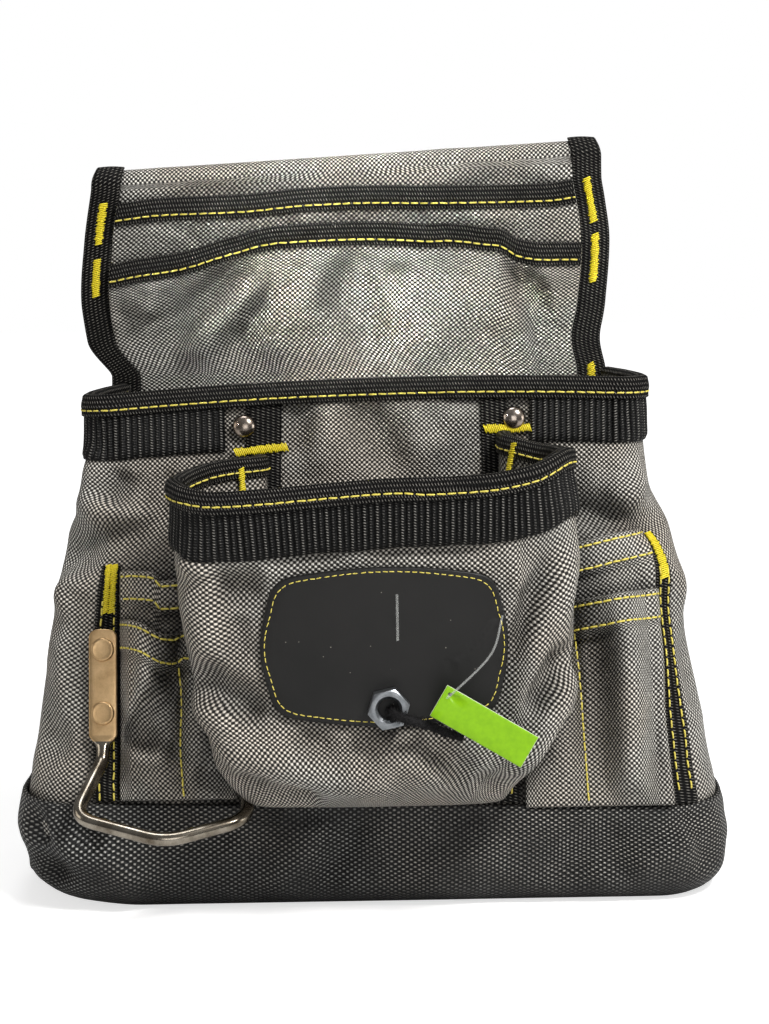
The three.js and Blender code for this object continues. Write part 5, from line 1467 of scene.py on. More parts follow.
def tool_pockets():
    """Two tiers a side, their hems, and the row of stitches that divides each front one."""
    seams = []
    share = np.linspace(0, 1, 76)[:, None]
    for side, name in SIDES.items():
        tiers = (("rear", REAR_TOP[side], rear_offset), ("front", FRONT_TOP[side], front_offset))
        for tier, top_z, offset in tiers:
            top = top_z + TIER_RISE * (share - DIVIDER_SHARE) + 0.5 * noise(share * 40, 0, 9, 61 + side)
            top = top + curve(TIER_TILTS[tier, side], share)
            z = lerp(tier_foot(side), top, np.linspace(0, 1, 80)[None])
            u = tier_place(side, z, share)
            stand = offset(side, share, z, top)
            shape = hem(z, top, share)
            outer = on_wall(u, z, stand + CLOTH + shape)
            inner = on_wall(u, z, stand + np.minimum(shape, 0))
            piece = shell(f"{name}_{tier}_cloth", outer, inner, grey_cloth, uv=grid_uv(outer, (13.0, 7.0)))
            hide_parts(f"{name}_{tier}_tool_pocket")
            s = np.linspace(0.0, 1.0, 200)
            for down in (1.6, HEM_WIDTH - 1.0):
                head = np.interp(s, share[:, 0], top[:, 0]) - down
                at = tier_place(side, head, s)
                d = offset(side, s, head, head + down) + CLOTH + hem(head, head + down, s)
                normals = wall_normal(at, head)
                seams.append(stitch_line(on_wall(at, head, d), normals, radius=0.42, lift=0.6))
            if tier == "front":
                head = np.linspace(tier_foot(side) + 1, np.interp(0.4, share[:, 0], top[:, 0]) - 1, 160)
                wander = divider(side, head)
                at = tier_place(side, head, wander)
                d = offset(side, wander, head, np.full_like(head, top_z)) + CLOTH + 0.15
                seams.append(stitch_line(on_wall(at, head, d), wall_normal(at, head), lift=0.5))
    return seams


# Base
base_relief = folds(BASE_FOLDS_PX, y=-58, gain=2.4)


def base_loop(d, z, u):
    """A level of the base: round the wall's foot, then across behind the panel."""
    front = wall(u, SEAM_Z) + wall_normal(u, SEAM_Z) * d
    reach = d - SEAM - BASE_CLOTH
    back_y = PANEL_Y + PANEL_CLOTH + SEAM + BASE_CLOTH + reach
    radius = max(BASE_BACK_RADIUS + reach, BASE_CLOTH)
    side_x = front[-1, 0]
    angle = np.linspace(0, math.pi / 2, 9)
    right = points(side_x - radius + radius * np.cos(angle), back_y - radius + radius * np.sin(angle), 0)
    left = (right[::-1] - (side_x, 0, 0)) * (-1, 1, 1) + (front[0, 0], 0, 0)
    back = points(np.linspace(right[-1, 0], left[0, 0], 90), back_y, 0)
    loop = np.concatenate([front, right[1:], back[1:], left[1:-1]])
    loop[:, 2] = z
    return loop


WIDEST_LEVEL = 14


def base_tray():
    u = wall_stops(1.9)
    outer_d = SEAM + BASE_CLOTH

    def bulge(z):
        return BASE_BULGE * math.sin(math.pi * min(max(z / SEAM_Z, 0), 1))

    def side_levels(radius, floor, reach, count):
        levels = []
        for angle in np.linspace(0, math.pi / 2, 10):
            z = floor + radius * (1 - math.cos(angle))
            levels.append(base_loop(reach + bulge(BASE_RADIUS) - radius * (1 - math.sin(angle)), z, u))
        for z in np.linspace(BASE_RADIUS, SEAM_Z, count)[1:]:
            levels.append(base_loop(reach + bulge(z), z, u))
        levels = np.array(levels)
        lift = smooth((levels[..., 2] - BASE_RADIUS) / (SEAM_Z - BASE_RADIUS))
        levels[..., 2] += (seam_z(levels[..., 0]) - SEAM_Z) * lift
        return levels

    def crumple(levels):
        """Wrinkles push the tray's cloth in and out, not at its flat underside or its sewn top edge."""
        normal = unit(np.cross(np.gradient(levels, axis=1), np.gradient(levels, axis=0)))
        x, y, z = levels[..., 0], levels[..., 1], levels[..., 2]
        front = smooth((8 - y) / 20)
        run = x - y * 1.3
        field = base_relief(x, z) * front + noise(run, z, 20, 71) + 0.5 * noise(run, z, 8, 72)
        calm = smooth(z / 9) * (1 - 0.65 * smooth((z - SEAM_Z + 8) / 6))
        back_face = smooth((y - 36) / 6)
        push = field * calm * (1 - 0.7 * back_face)
        dent = np.exp(-((x + DENT_X) / DENT_REACH_X) ** 2 - ((y + DENT_Y) / DENT_REACH_Y) ** 2)
        push = push - CORNER_DENT * dent * smooth((34 - z) / 20)
        moved = levels + normal * push[..., None]
        curl = CORNER_CURL[-1] * smooth((-x - 96) / 46) + CORNER_CURL[1] * smooth((x - 112) / 28)
        moved[..., 2] += curl * smooth((26 - y) / 40) * smooth((26 - z) / 26)
        return moved

    outer = crumple(side_levels(BASE_RADIUS, 0, outer_d, 22))
    inner = crumple(side_levels(BASE_RADIUS - BASE_CLOTH, BASE_CLOTH, SEAM, 22))
    middle = np.array([0, -8.0, 0])
    floor_rings = [lerp(middle * (1, 1, 0), outer[0], s) for s in (0.04, 0.35, 0.65, 0.85, 0.95)]
    inner_floor = [lerp(middle + (0, 0, BASE_CLOTH), inner[0], s) for s in (0.95, 0.85, 0.65, 0.35, 0.04)]
    top = (outer[-1] + inner[-1]) / 2 + (0, 0, 0.5)
    rings = np.array([*floor_rings, *outer, top, *inner[::-1], *inner_floor])
    along_way = run_along(rings[len(floor_rings) + WIDEST_LEVEL])
    up_way = run_along(rings[:, rings.shape[1] // 3])
    uv = pairs(up_way, along_way)[..., ::-1]
    piece = loft("base_cloth", rings, black_cloth, uv=uv)
    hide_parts("base_panel")


# Back panel with its belt tunnel in one folded sheet
def panel_sheet():
    share = np.linspace(0, 1, 150)[:, None]
    head_x = lerp(panel_edge(-1, PANEL_HEAD), panel_edge(1, PANEL_HEAD), share)
    head = fold_z(head_x)
    low = SEAM_Z - SEAM_OVERLAP
    centre = PANEL_Y + FOLD_RADIUS
    inner_radius = FOLD_RADIUS - PANEL_CLOTH
    seat_y = PANEL_Y + PANEL_CLOTH + SEAM
    rows = []
    for s in np.linspace(0, 1, 110):
        z = lerp(low, head, s)
        rows.append((PANEL_Y, z, PANEL_Y + PANEL_CLOTH, z, 0.0))
    for a in np.linspace(math.pi, 0, 15)[1:]:
        c, s = math.cos(a), math.sin(a)
        rows.append((centre + FOLD_RADIUS * c, head + FOLD_RADIUS * s, centre + inner_radius * c,
                     head + inner_radius * s, 1.0))
    rear = centre + FOLD_RADIUS
    for s in np.linspace(0, 1, 44)[1:]:
        z = head - TUNNEL_DROP * s
        rows.append((rear, z, rear - PANEL_CLOTH, z, 1.0))
    for s in np.linspace(0, 1, 9)[1:]:
        z = head - TUNNEL_DROP - TUNNEL_TAPER * s
        y = lerp(rear, seat_y + PANEL_CLOTH, smooth(s))
        rows.append((y, z, y - PANEL_CLOTH, z, 1.0))
    for s in np.linspace(0, 1, 7)[1:]:
        z = head - TUNNEL_DROP - TUNNEL_TAPER - TUNNEL_FLANGE * s
        rows.append((seat_y + PANEL_CLOTH, z, seat_y, z, 1.0))
    inset = BINDING_WIDTH + SEAM
    outer, inner = [], []
    for y0, z0, y1, z1, folded in rows:
        for side_list, y, z in ((outer, y0, z0), (inner, y1, z1)):
            z = np.broadcast_to(z, share.shape)
            near_head = smooth((z - head + 2.5) / 2.0) if not folded else np.ones_like(z)
            level = np.minimum(z, PANEL_HEAD)
            left = panel_edge(-1, level) + inset * near_head
            right = panel_edge(1, level) - inset * near_head
            x = lerp(left, right, share)
            side_list.append(points(x, y, z)[:, 0])
    outer, inner = np.array(outer).swapaxes(0, 1), np.array(inner).swapaxes(0, 1)
    x, z = outer[..., 0], outer[..., 2]
    fade = smooth(np.minimum(share, 1 - share) / 0.06)
    front = (outer[..., 1] < centre)
    field = (panel_relief(x, z) * front + 0.5 * noise(x, z + (~front) * 300, 30, 81)) * fade
    above = smooth((z - UPPER_FOOT - 40) / 12) * front
    above = above * (1 - 0.85 * smooth((z - head + 9) / 9))
    behind = (~front) * smooth((head - z + 6) / 20) * smooth((z - 214) / 20)
    push = (field * np.maximum(above, behind))[..., None]
    normal = unit(outer - inner)
    piece = shell("panel_cloth", outer + normal * push, inner + normal * push, grey_cloth,
                  uv=grid_uv(outer, (3.0, 0.0)))
    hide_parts("back_panel", "belt_tunnel")


PANEL_TRIM_STEPS, TURN_STEPS, TURN_OVER = 160, 16, math.radians(84)


def panel_trim(side):
    """The binding down one side of the panel, closed over its edge, with its bar tacks."""
    low = SEAM_Z + SEAM_DROP + SEAM + BINDING
    edge_head = fold_z(panel_edge(side, PANEL_HEAD))
    z = np.concatenate([np.linspace(low, edge_head, PANEL_TRIM_STEPS), np.full(TURN_STEPS, edge_head)])
    over = np.concatenate([np.zeros(PANEL_TRIM_STEPS), np.linspace(0, 1, TURN_STEPS + 1)[1:]]) * TURN_OVER
    x = panel_edge(side, np.minimum(z, PANEL_HEAD)) - side * 1.5 * smooth(over / 1.4)
    front, back = PANEL_Y - SEAM, PANEL_Y + PANEL_CLOTH + SEAM
    top = SEAM + BINDING
    legs = np.linspace(-BINDING_WIDTH, -1.0, 8)
    swell = 0.35 * np.sin(math.pi * (legs + BINDING_WIDTH) / BINDING_WIDTH)
    angle = np.linspace(-math.pi / 2, math.pi / 2, 9)[1:-1]
    centre_y = (front + back) / 2
    half_y = (back - front) / 2 + BINDING
    out = np.concatenate([legs, -0.6 + (top + 0.6) * np.cos(angle), legs[::-1],
                          [-BINDING_WIDTH - 0.2, -BINDING_WIDTH + 0.1, SEAM * 0.6, SEAM * 0.6,
                           -BINDING_WIDTH + 0.1, -BINDING_WIDTH - 0.2]])
    y = np.concatenate([front - BINDING - swell, centre_y + (half_y + 0.2) * np.sin(angle),
                        back + BINDING + swell[::-1],
                        [back + BINDING / 2, back, back, front, front, front - BINDING / 2]])
    wander = 0.25 * noise(z, 0, 11, 91 + side)[:, None]
    reach = FOLD_RADIUS - (y[None] - PANEL_Y - np.abs(wander) * 0.6)
    turn = over[:, None]
    rings = points(x[:, None] + side * (out[None] + wander * 0.6),
                   PANEL_Y + FOLD_RADIUS - reach * np.cos(turn), z[:, None] + reach * np.sin(turn))
    name = SIDES[side]
    piece = loft(f"panel_trim_{name}", rings, binding_black, uv=length_uv(rings))
    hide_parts(f"panel_binding_{name}")
    tacks = []
    for low_px, high_px in PANEL_TACKS_PX[side]:
        height = np.linspace(from_photo(*low_px, PANEL_Y)[1], from_photo(*high_px, PANEL_Y)[1], 30)
        along_x = panel_edge(side, np.minimum(height, PANEL_HEAD)) - side * 5.2
        path = points(along_x, front - BINDING - 0.55, height)
        tacks.append(bar_tack(path, np.tile([0, -1.0, 0], (30, 1)), 3.4))
    return tacks


PANEL_TACKS_PX = {
    -1: (((97, 244), (97, 204)), ((95, 296), (95, 260))),
    1: (((591, 221), (591, 178)), ((592, 281), (592, 234)), ((597, 376), (597, 363))),
}


def sleeve(name, foot, top_at, stand_at):
    across = np.linspace(-1, 1, 150)[:, None]
    top = top_at(across)
    share = np.linspace(0, 1, 64)[None]
    z = lerp(foot, top, share)
    x = sleeve_x(across, z)
    stand = stand_at(across, z)
    outer = points(x, PANEL_Y - stand - CLOTH, z)
    inner = points(x, PANEL_Y - stand, z)
    piece = shell(f"{name}_cloth", outer, inner, grey_cloth, uv=grid_uv(outer, (5.0, 3.0)))
    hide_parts(name)
    d, rise = binding_section(np.full(len(across), SEAM), CLOTH, SLEEVE_LEG, 0.35)
    height = top + rise
    level = np.minimum(height, top)
    host = stand_at(np.broadcast_to(across, level.shape), level) + CLOTH
    rings = points(sleeve_x(across, height), PANEL_Y - host - d, height)
    trim = loft(f"{name}_trim", rings, binding_black, uv=length_uv(rings))
    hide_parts(f"{name}_binding")
    a = across[:, 0]
    line = top[:, 0] - SLEEVE_LEG + 2.2
    y = PANEL_Y - stand_at(a, line) - CLOTH - SEAM - BINDING - 0.1
    path = points(sleeve_x(a, line), y, line)
    return stitch_line(path, np.tile([0, -1.0, 0.0], (len(a), 1)), pitch=4.1, length=3.5)


# Front pocket
def pocket_stops(step=1.4):
    return even_stops(lambda u: pocket(u, 0.8), POCKET_LAST, step)


def front_pocket():
    """The bellied wall and its floor as one sheet."""
    u = pocket_stops()[:, None]
    low = np.linspace(0, 1, 26) ** 1.8 * BELLY_SHARE
    high = lerp(BELLY_SHARE, mouth_v(u), np.linspace(0, 1, 76)[None, 1:])
    v = np.concatenate([np.broadcast_to(low, (len(u), len(low))), high], axis=1)
    rear = wall_sizes(POCKET_FOOT_Z)[1] - POCKET_STAND - CLOTH

    def with_floor(cloth, z):
        x, y = cloth[:, 0, 0], cloth[:, 0, 1]
        rows = [points(x * lerp(0.97, 1, s), lerp(rear, y, s), z) for s in (0.4, 0.7, 0.92)]
        return np.concatenate([np.stack(rows, axis=1), cloth], axis=1)

    outer = with_floor(on_pocket(u, v, 0), POCKET_FOOT_Z)
    inner = with_floor(on_pocket(u, v, -CLOTH), POCKET_FOOT_Z + CLOTH)
    piece = shell("front_pocket_cloth", outer, inner, grey_cloth, uv=grid_uv(outer, (1.0, 2.0)))
    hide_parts("front_pocket_wall")


def pocket_rise(u, dz):
    return dz / (pocket_rim_z(u) - POCKET_FOOT_Z)


# Tacks inside the front pocket's mouth: place along it at the foot and the head, then their heights
POCKET_TACKS = ((0.22, 0.22, 168.0, 178.5), (1.82, 1.785, 176.0, 186.5))
POCKET_TRIM_END = 1 / 56


def trim_stops(step):
    u = pocket_stops(step)
    return u[(u > POCKET_TRIM_END) & (u < POCKET_LAST - POCKET_TRIM_END)]


def pocket_trims():
    u = trim_stops(0.36)
    middle = on_pocket(u, mouth_v(u, WEBBING_WIDTH / 2), 0, False)
    run = run_along(middle)
    rows = np.linspace(0, 1, 16)
    down = WEBBING_WIDTH * (1 - rows[None]) + 0.25 * noise(run, 0, 7, 45)[:, None]
    v = mouth_v(u)[:, None] - pocket_rise(u, 1.0)[:, None] * down
    edge = webbing_edge(rows)
    relief = ribs(run) * edge - 0.35 * (1 - edge)
    outer = on_pocket(u[:, None], v, SEAM + WEBBING * 0.75 + relief)
    inner = on_pocket(u[:, None], v, SEAM)
    uv = np.stack(np.broadcast_arrays(run[:, None], WEBBING_WIDTH * rows[None]), axis=-1)
    piece = shell("front_webbing", outer, inner, webbing_black, uv=uv, swell=0.35)
    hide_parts("front_pocket_webbing")

    u = trim_stops(1.1)
    d, rise = binding_section(np.full(len(u), OVER_WEBBING), CLOTH, POCKET_LEG)
    wander = 0.25 * noise(u * POCKET_UNIT, 0, 9, 46)[:, None]
    rings = on_pocket(u[:, None], mouth_v(u[:, None]) + pocket_rise(u[:, None], rise), d + wander * 0.5)
    trim = loft("front_pocket_trim", rings, binding_black, uv=length_uv(rings))
    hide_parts("front_pocket_binding")
    seams = []
    v = mouth_v(u, POCKET_LEG - 2.2)
    base = on_pocket(u, v, 0)
    normals = unit(on_pocket(u, v, 1) - base)
    seams.append(stitch_line(base + normals * (OVER_WEBBING + BINDING - 0.1 + wander * 0.5), normals))
    seams.append(stitch_line(base - normals * (CLOTH + SEAM + BINDING - 0.1), -normals))
    tacks = []
    for low_place, high_place, low, high in POCKET_TACKS:
        z = np.linspace(low, high, 30)
        place = np.linspace(low_place, high_place, 30)
        v = (z - POCKET_FOOT_Z) / (pocket_rim_z(place) - POCKET_FOOT_Z)
        skin = on_pocket(place, v, 0)
        normals = unit(on_pocket(place, v, 1) - skin)
        tacks.append(bar_tack(skin - normals * (CLOTH + SEAM + BINDING + 0.25), -normals, 3.0))
    return seams, tacks


def patch_outline(inset, steps=24):
    """The patch's barrel-shaped outline with round corners."""
    half_x, half_z = PATCH_WIDTH / 2 - inset, PATCH_HEIGHT / 2 - inset
    corner_x, corner_z, r = half_x - PATCH_BARREL, half_z - PATCH_BARREL, PATCH_CORNER
    runs = (
        ((-corner_x + r, -corner_z), (0, -half_z - PATCH_BARREL), (corner_x - r, -corner_z)),
        ((corner_x - r, -corner_z), (corner_x, -corner_z), (corner_x, -corner_z + r)),
        ((corner_x, -corner_z + r), (half_x + PATCH_BARREL, 0), (corner_x, corner_z - r)),
        ((corner_x, corner_z - r), (corner_x, corner_z), (corner_x - r, corner_z)),
        ((corner_x - r, corner_z), (0, half_z + PATCH_BARREL), (-corner_x + r, corner_z)),
        ((-corner_x + r, corner_z), (-corner_x, corner_z), (-corner_x, corner_z - r)),
        ((-corner_x, corner_z - r), (-half_x - PATCH_BARREL, 0), (-corner_x, -corner_z + r)),
        ((-corner_x, -corner_z + r), (-corner_x, -corner_z), (-corner_x + r, -corner_z)),
    )
    t = np.linspace(0, 1, steps, endpoint=False)[:, None]
    outline = np.concatenate([bend(*run, t) for run in runs])
    for _ in range(steps):
        outline = (np.roll(outline, 1, axis=0) + 2 * outline + np.roll(outline, -1, axis=0)) / 4
    outline[:, 0] *= np.where(outline[:, 0] < 0, 1 + PATCH_REACH / half_x, 1)
    return outline


CREASE_LOW_PX, CREASE_HIGH_PX, CREASE_Y = (450, 662), (500, 606), -86.0


def patch_crease(x, z):
    """The curved crease that bends down the right of the patch."""
    low, high = from_photo(*CREASE_LOW_PX, CREASE_Y), from_photo(*CREASE_HIGH_PX, CREASE_Y)
    share = np.clip((z - low[1]) / (high[1] - low[1]), 0, 1)
    line = lerp(low[0], high[0], share ** 0.6)
    fade = smooth((z - low[1] + 8) / 10) * smooth((high[1] + 8 - z) / 10)
    return fade * (-0.5 * np.exp(-((x - line) / 1.4) ** 2) + 0.45 * np.exp(-((x - line - 2.8) / 1.8) ** 2))


SLAB_STEPS, SLAB_EDGE_STEPS = 26, 8


def slab(name, node, inner_d, outer_d, inset, material, rounding, relief=None, folded=True):
    """A layer that follows the pocket's front, cut to the patch's outline."""
    outline = patch_outline(inset)
    turn = np.linspace(0, math.pi / 2, SLAB_EDGE_STEPS)
    shares = np.concatenate([np.linspace(0.02, 0.9, SLAB_STEPS), 1 - rounding * (1 - np.sin(turn))])
    drops = np.concatenate([np.zeros(SLAB_STEPS), (outer_d - inner_d) * 0.5 * (1 - np.cos(turn))])
    x = PATCH_X + outline[:, None, 0] * shares[None]
    z = PATCH_Z + outline[:, None, 1] * shares[None]
    lift = relief(x, z) if relief else 0
    front = pocket_at(x, z, outer_d - drops[None] + lift, folded)
    back = pocket_at(x, z, inner_d + drops[None], folded)
    rings = np.concatenate([front, back[:, ::-1][:, 1:]], axis=1).swapaxes(0, 1)
    flat = np.stack([x, z], axis=-1)
    uv = np.concatenate([flat, flat[:, ::-1][:, 1:]], axis=1).swapaxes(0, 1)
    piece = loft(name, rings, material, uv=uv)
    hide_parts(node)


def patch():
    slab("patch_cloth", "magnet_patch", SEAM, PATCH_FACE, 0, patch_vinyl, 0.018, patch_crease)
    carrier_outer = -CLOTH - SEAM
    carrier_inner = carrier_outer - CARRIER
    slab("carrier_foam", "magnet_carrier", carrier_inner, carrier_outer, CARRIER_INSET, foam, 0.02)
    slab("liner_cloth", "magnet_liner", carrier_inner - SEAM - LINER, carrier_inner - SEAM, 0, grey_cloth,
         0.012)
    outline = patch_outline(1.9, 40)
    outline = np.concatenate([outline, outline[:1]])
    x, z = PATCH_X + outline[:, 0], PATCH_Z + outline[:, 1]
    path = pocket_at(x, z, PATCH_FACE - 0.05)
    normals = unit(pocket_at(x, z, PATCH_FACE + 1) - pocket_at(x, z, PATCH_FACE))
    return [stitch_line(path, normals, pitch=2.8, length=2.0, radius=0.2, lift=0.26)]


# Metal
def lathe(name, profile, frame_at, material, body="pouch", sides=64):
    """A turned piece: its closed profile of (radius, height) turned round its own Z."""
    profile = np.array(profile, float)
    angle = np.linspace(0, 2 * math.pi, sides, endpoint=False)
    local = points(profile[None, :, 0] * np.cos(angle)[:, None], profile[None, :, 0] * np.sin(angle)[:, None],
                   profile[None, :, 1])
    grid = seated(local, frame_at)
    n, m = grid.shape[:2]
    quads = grid_quads(n, m, closed=True)
    start, end = [i * m for i in range(n)], [i * m + m - 1 for i in range(n)]
    vertices = grid.reshape(-1, 3)
    caps = (start[::-1], end) if volume_in(vertices, quads) > 0 else (start, end[::-1])
    return build(name, vertices, quads, material, body, extra_faces=caps)


def rivet_profile(height, domed, grip):
    """Head, shank and washer as one turned piece, from the washer's back to the head's top."""
    head, shank, washer = RIVET_HEAD / 2, RIVET_SHANK / 2, RIVET_WASHER / 2
    back = -grip - WASHER_THICKNESS
    profile = [(0.2, back), (washer * 0.6, back), (washer - 0.25, back), (washer, back + 0.25),
               (washer, -grip - 0.2), (washer - 0.2, -grip), (shank, -grip), (shank, 0), (head - 0.3, 0),
               (head, 0.25)]
    if domed:
        turn = np.linspace(0.14, math.pi / 2 - 0.05, 16)
        profile += [(head * math.cos(a), height * math.sin(a)) for a in turn]
    else:
        profile += [(head, height - 0.55), (head - 0.16, height - 0.22), (head - 0.5, height - 0.03)]
        profile += [(head - 0.9, height), (head - 1.2, height - 0.06), (head * 0.5, height - 0.1)]
        profile += [(0.2, height - 0.12)]
    return profile


def rivets():
    for side, name in SIDES.items():
        x = side * RIM_RIVET[side]
        z = rim_z(wall_u(x, RIM_Z)) - BINDING_WIDTH - RIVET_HEAD / 2 - SEAM
        u = wall_u(x, z)
        foot = on_wall(u, z, SEAM + TAPE + SEAM, False)
        grip = SEAM + TAPE + SEAM + CLOTH + SEAM
        frame_at = seat(foot, on_wall(u, z, SEAM + TAPE + SEAM + 1, False))
        piece = lathe(f"cap_rivet_{name}", rivet_profile(RIVET_DOME, True, grip), frame_at, nickel)
        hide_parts(f"rim_rivet_{name}")


def plate_frames():
    middle = PLATE_TOP - PLATE_LENGTH / 2
    frames = []
    for x in PLATE_X:
        u = wall_u(-x, middle)
        foot, tip = (on_wall(u, middle, PLATE_STAND + out, False) for out in (0, 1))
        frames.append(seat(foot, tip))
    return frames


def bent_path(corners, radius, step=0.8):
    """Straight runs with rounded bends through corner points."""
    parts, start = [], corners[0]
    for before, corner, after in zip(corners[:-2], corners[1:-1], corners[2:]):
        cut = min(radius, np.linalg.norm(before - corner) / 2, np.linalg.norm(after - corner) / 2)
        enter = corner + unit(before - corner) * cut
        leave = corner + unit(after - corner) * cut
        parts += [start[None], bend(enter, corner, leave, np.linspace(0, 1, 24)[:, None])]
        start = leave
    path = np.concatenate([*parts, corners[-1][None]])
    return even(path[np.concatenate([[True], np.linalg.norm(np.diff(path, axis=0), axis=-1) > 1e-4])], step)


PLATE_STEPS = 110


def hammer_loop():
    """One bent wire whose two ends are flattened into riveted plates."""
    frames = plate_frames()
    middle = PLATE_TOP - PLATE_LENGTH / 2
    shoulder_z = middle - PLATE_LENGTH / 2 - SHOULDER / 2

    def against_wall(x, z):
        return on_wall(wall_u(-x, z), z, PLATE_STAND + WIRE / 2, False)

    reaches = (LOOP_REACH, LOOP_VEE_REACH, LOOP_REACH)
    run = [np.array([-x, -reach, z]) for x, reach, z in zip(LOOP_X, reaches, LOOP_Z)]
    corners = [against_wall(PLATE_X[0], shoulder_z - 3), against_wall(PLATE_X[0], LOOP_DROP[0]), *run,
               against_wall(LOOP_X[2], LOOP_DROP[1]), against_wall(PLATE_X[1], shoulder_z - 3)]
    wire = bent_path(corners, LOOP_BEND)
    length_local = np.linspace(PLATE_LENGTH / 2 - 0.02, -PLATE_LENGTH / 2 - SHOULDER + 2, PLATE_STEPS)
    parts, shapes = [], []
    for index, at in enumerate(frames):
        local = points(0, length_local, PLATE / 2)
        part = seated(local, at)
        down = np.clip((-PLATE_LENGTH / 2 - length_local) / SHOULDER, 0, 1)
        parts.append(part if index == 0 else part[::-1])
        shapes.append(down if index == 0 else down[::-1])
    path = np.concatenate([parts[0], wire, parts[1]])
    flat = np.concatenate([1 - smooth(shapes[0] * 1.3), np.zeros(len(wire)), 1 - smooth(shapes[1] * 1.3)])
    past_head = length_local - PLATE_LENGTH / 2
    edge = np.concatenate([past_head, np.full(len(wire), -99.0), past_head[::-1]])
    corner = 3.4
    cut_in = np.where(edge > -corner, corner - np.sqrt(np.maximum(corner ** 2 - (edge + corner) ** 2, 0)), 0)
    kept = PLATE_STEPS - 5
    for _ in range(6):
        path[kept:-kept] = (path[kept - 1:-kept - 1] + 2 * path[kept:-kept] + path[kept + 1:1 - kept]) / 4
    _, a, b = transport(path, frames[0][0][:, 0])
    goal = frames[1][0][:, 0]
    swing = math.atan2(np.dot(goal, b[-1]), np.dot(goal, a[-1]))
    if abs(swing) > math.pi / 2:
        swing -= math.copysign(math.pi, swing)
    start, stop = len(parts[0]), len(parts[0]) + len(wire)
    turn = np.clip((np.arange(len(path)) - start) / (stop - start), 0, 1) * swing
    wide = a * np.cos(turn)[:, None] + b * np.sin(turn)[:, None]
    thin = b * np.cos(turn)[:, None] - a * np.sin(turn)[:, None]
    half_wide = lerp(WIRE / 2, PLATE_WIDTH / 2, flat) - np.minimum(cut_in, PLATE_WIDTH / 2 - 0.3)
    half_thin = lerp(WIRE / 2, PLATE / 2, flat)
    angle = np.linspace(0, 2 * math.pi, 40, endpoint=False)
    c, s = np.cos(angle)[None], np.sin(angle)[None]
    power = lerp(1.0, 0.32, flat)[:, None]
    square_c, square_s = np.sign(c) * np.abs(c) ** power, np.sign(s) * np.abs(s) ** power
    rings = path[:, None] + wide[:, None] * (half_wide[:, None] * square_c)[..., None]
    rings = rings + thin[:, None] * (half_thin[:, None] * square_s)[..., None]
    piece = loft("bent_wire", rings, chrome_wire)
    piece.data.materials.append(plate_steel)
    per_ring = flat[:-1] > 0.5
    for polygon in piece.data.polygons:
        ring = min(polygon.vertices) // len(angle)
        if polygon.loop_total > 4 or per_ring[min(ring, len(per_ring) - 1)]:
            polygon.material_index = 1
    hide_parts("hammer_loop")
    grip = SEAM + PLATE + PLATE_STAND + CLOTH + 2 * SEAM
    along_plate = PLATE_LENGTH / 2 - PLATE_RIVET_INSET
    number = 0
    for basis, origin in frames:
        for y in (along_plate, -along_plate):
            number += 1
            at = (basis, origin + basis @ np.array([0, y, PLATE + SEAM]))
            head = lathe(f"loop_rivet_{number}", rivet_profile(LOOP_RIVET_HEAD, False, grip), at, plate_steel)
            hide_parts(f"hammer_loop_rivet_{number}")


THREAD_PITCH, THREAD_DEPTH = 1.5, 0.55


def nut():
    """A chamfered hexagon nut with a threaded bore, worked out ring by ring."""
    angle = np.linspace(0, 2 * math.pi, 144, endpoint=False)
    apothem = NUT_FLATS / 2
    sector = np.mod(angle, math.pi / 3) - math.pi / 6
    hexagon = apothem / np.cos(sector)
    face = apothem - 0.25
    slope = math.tan(math.radians(27))
    drop = (hexagon - face) * slope
    bore = NUT_BORE / 2
    flat = bore + NUT_CHAMFER
    profile = [(lerp(flat, face, 1 - share), 0.0) for share in (1.0, 0.5, 0.0)]
    profile += [(lerp(face, hexagon, share), drop * share) for share in (0.4, 0.8, 0.96)]
    profile.append((hexagon, drop + 0.15))
    profile += [(hexagon, lerp(drop, NUT_THICKNESS - drop, share)) for share in (0.25, 0.5, 0.75)]
    profile.append((hexagon, NUT_THICKNESS - drop - 0.15))
    profile += [(lerp(face, hexagon, share), NUT_THICKNESS - drop * share) for share in (0.96, 0.8, 0.4, 0.0)]
    profile += [(lerp(face, flat, share), NUT_THICKNESS) for share in (0.5, 1.0)]
    for z in np.linspace(NUT_THICKNESS - NUT_CHAMFER, NUT_CHAMFER, 56):
        wave = np.abs(np.mod(z / THREAD_PITCH + angle / (2 * math.pi), 1.0) - 0.5) * 2
        profile.append((bore + THREAD_DEPTH * (wave - 0.35), z))
    radius, height = (np.array([np.broadcast_to(pair[k], angle.shape) for pair in profile]) for k in (0, 1))
    grid = seated(points(radius * np.cos(angle), radius * np.sin(angle), height), nut_seat)
    n, k = grid.shape[:2]
    vertices = grid.reshape(-1, 3)
    quads = grid_quads(n, k, closed=True, round_way=True)
    piece = build("hex_nut", vertices, quads, zinc, "nut")
    piece.data.set_sharp_from_angle(angle=math.radians(28))
    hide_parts("demo_nut")


def tack():
    """The clear tack on the patch: a fine line that bows a little off the vinyl."""
    z = TACK_Z + np.linspace(-0.5, 0.5, 40) * TACK_LENGTH
    bow = 0.25 * np.sin(np.linspace(0, math.pi, 40))
    path = pocket_at(np.full(40, TACK_X), z, PATCH_FACE + SEAM + TACK / 2 + bow)
    piece = loft("clear_tack", tube_rings(path, TACK / 2, 12), nylon)
    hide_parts("tag_tack")


# Stage
FLOOR_HALF = 3.0


def seen_share(make):
    """1 where the camera looks at a surface itself or through something clear."""
    path = make("ShaderNodeLightPath")
    rays = path.outputs["Is Camera Ray"], path.outputs["Is Transmission Ray"]
    return make("ShaderNodeMath", *rays, operation="MAXIMUM").outputs[0]


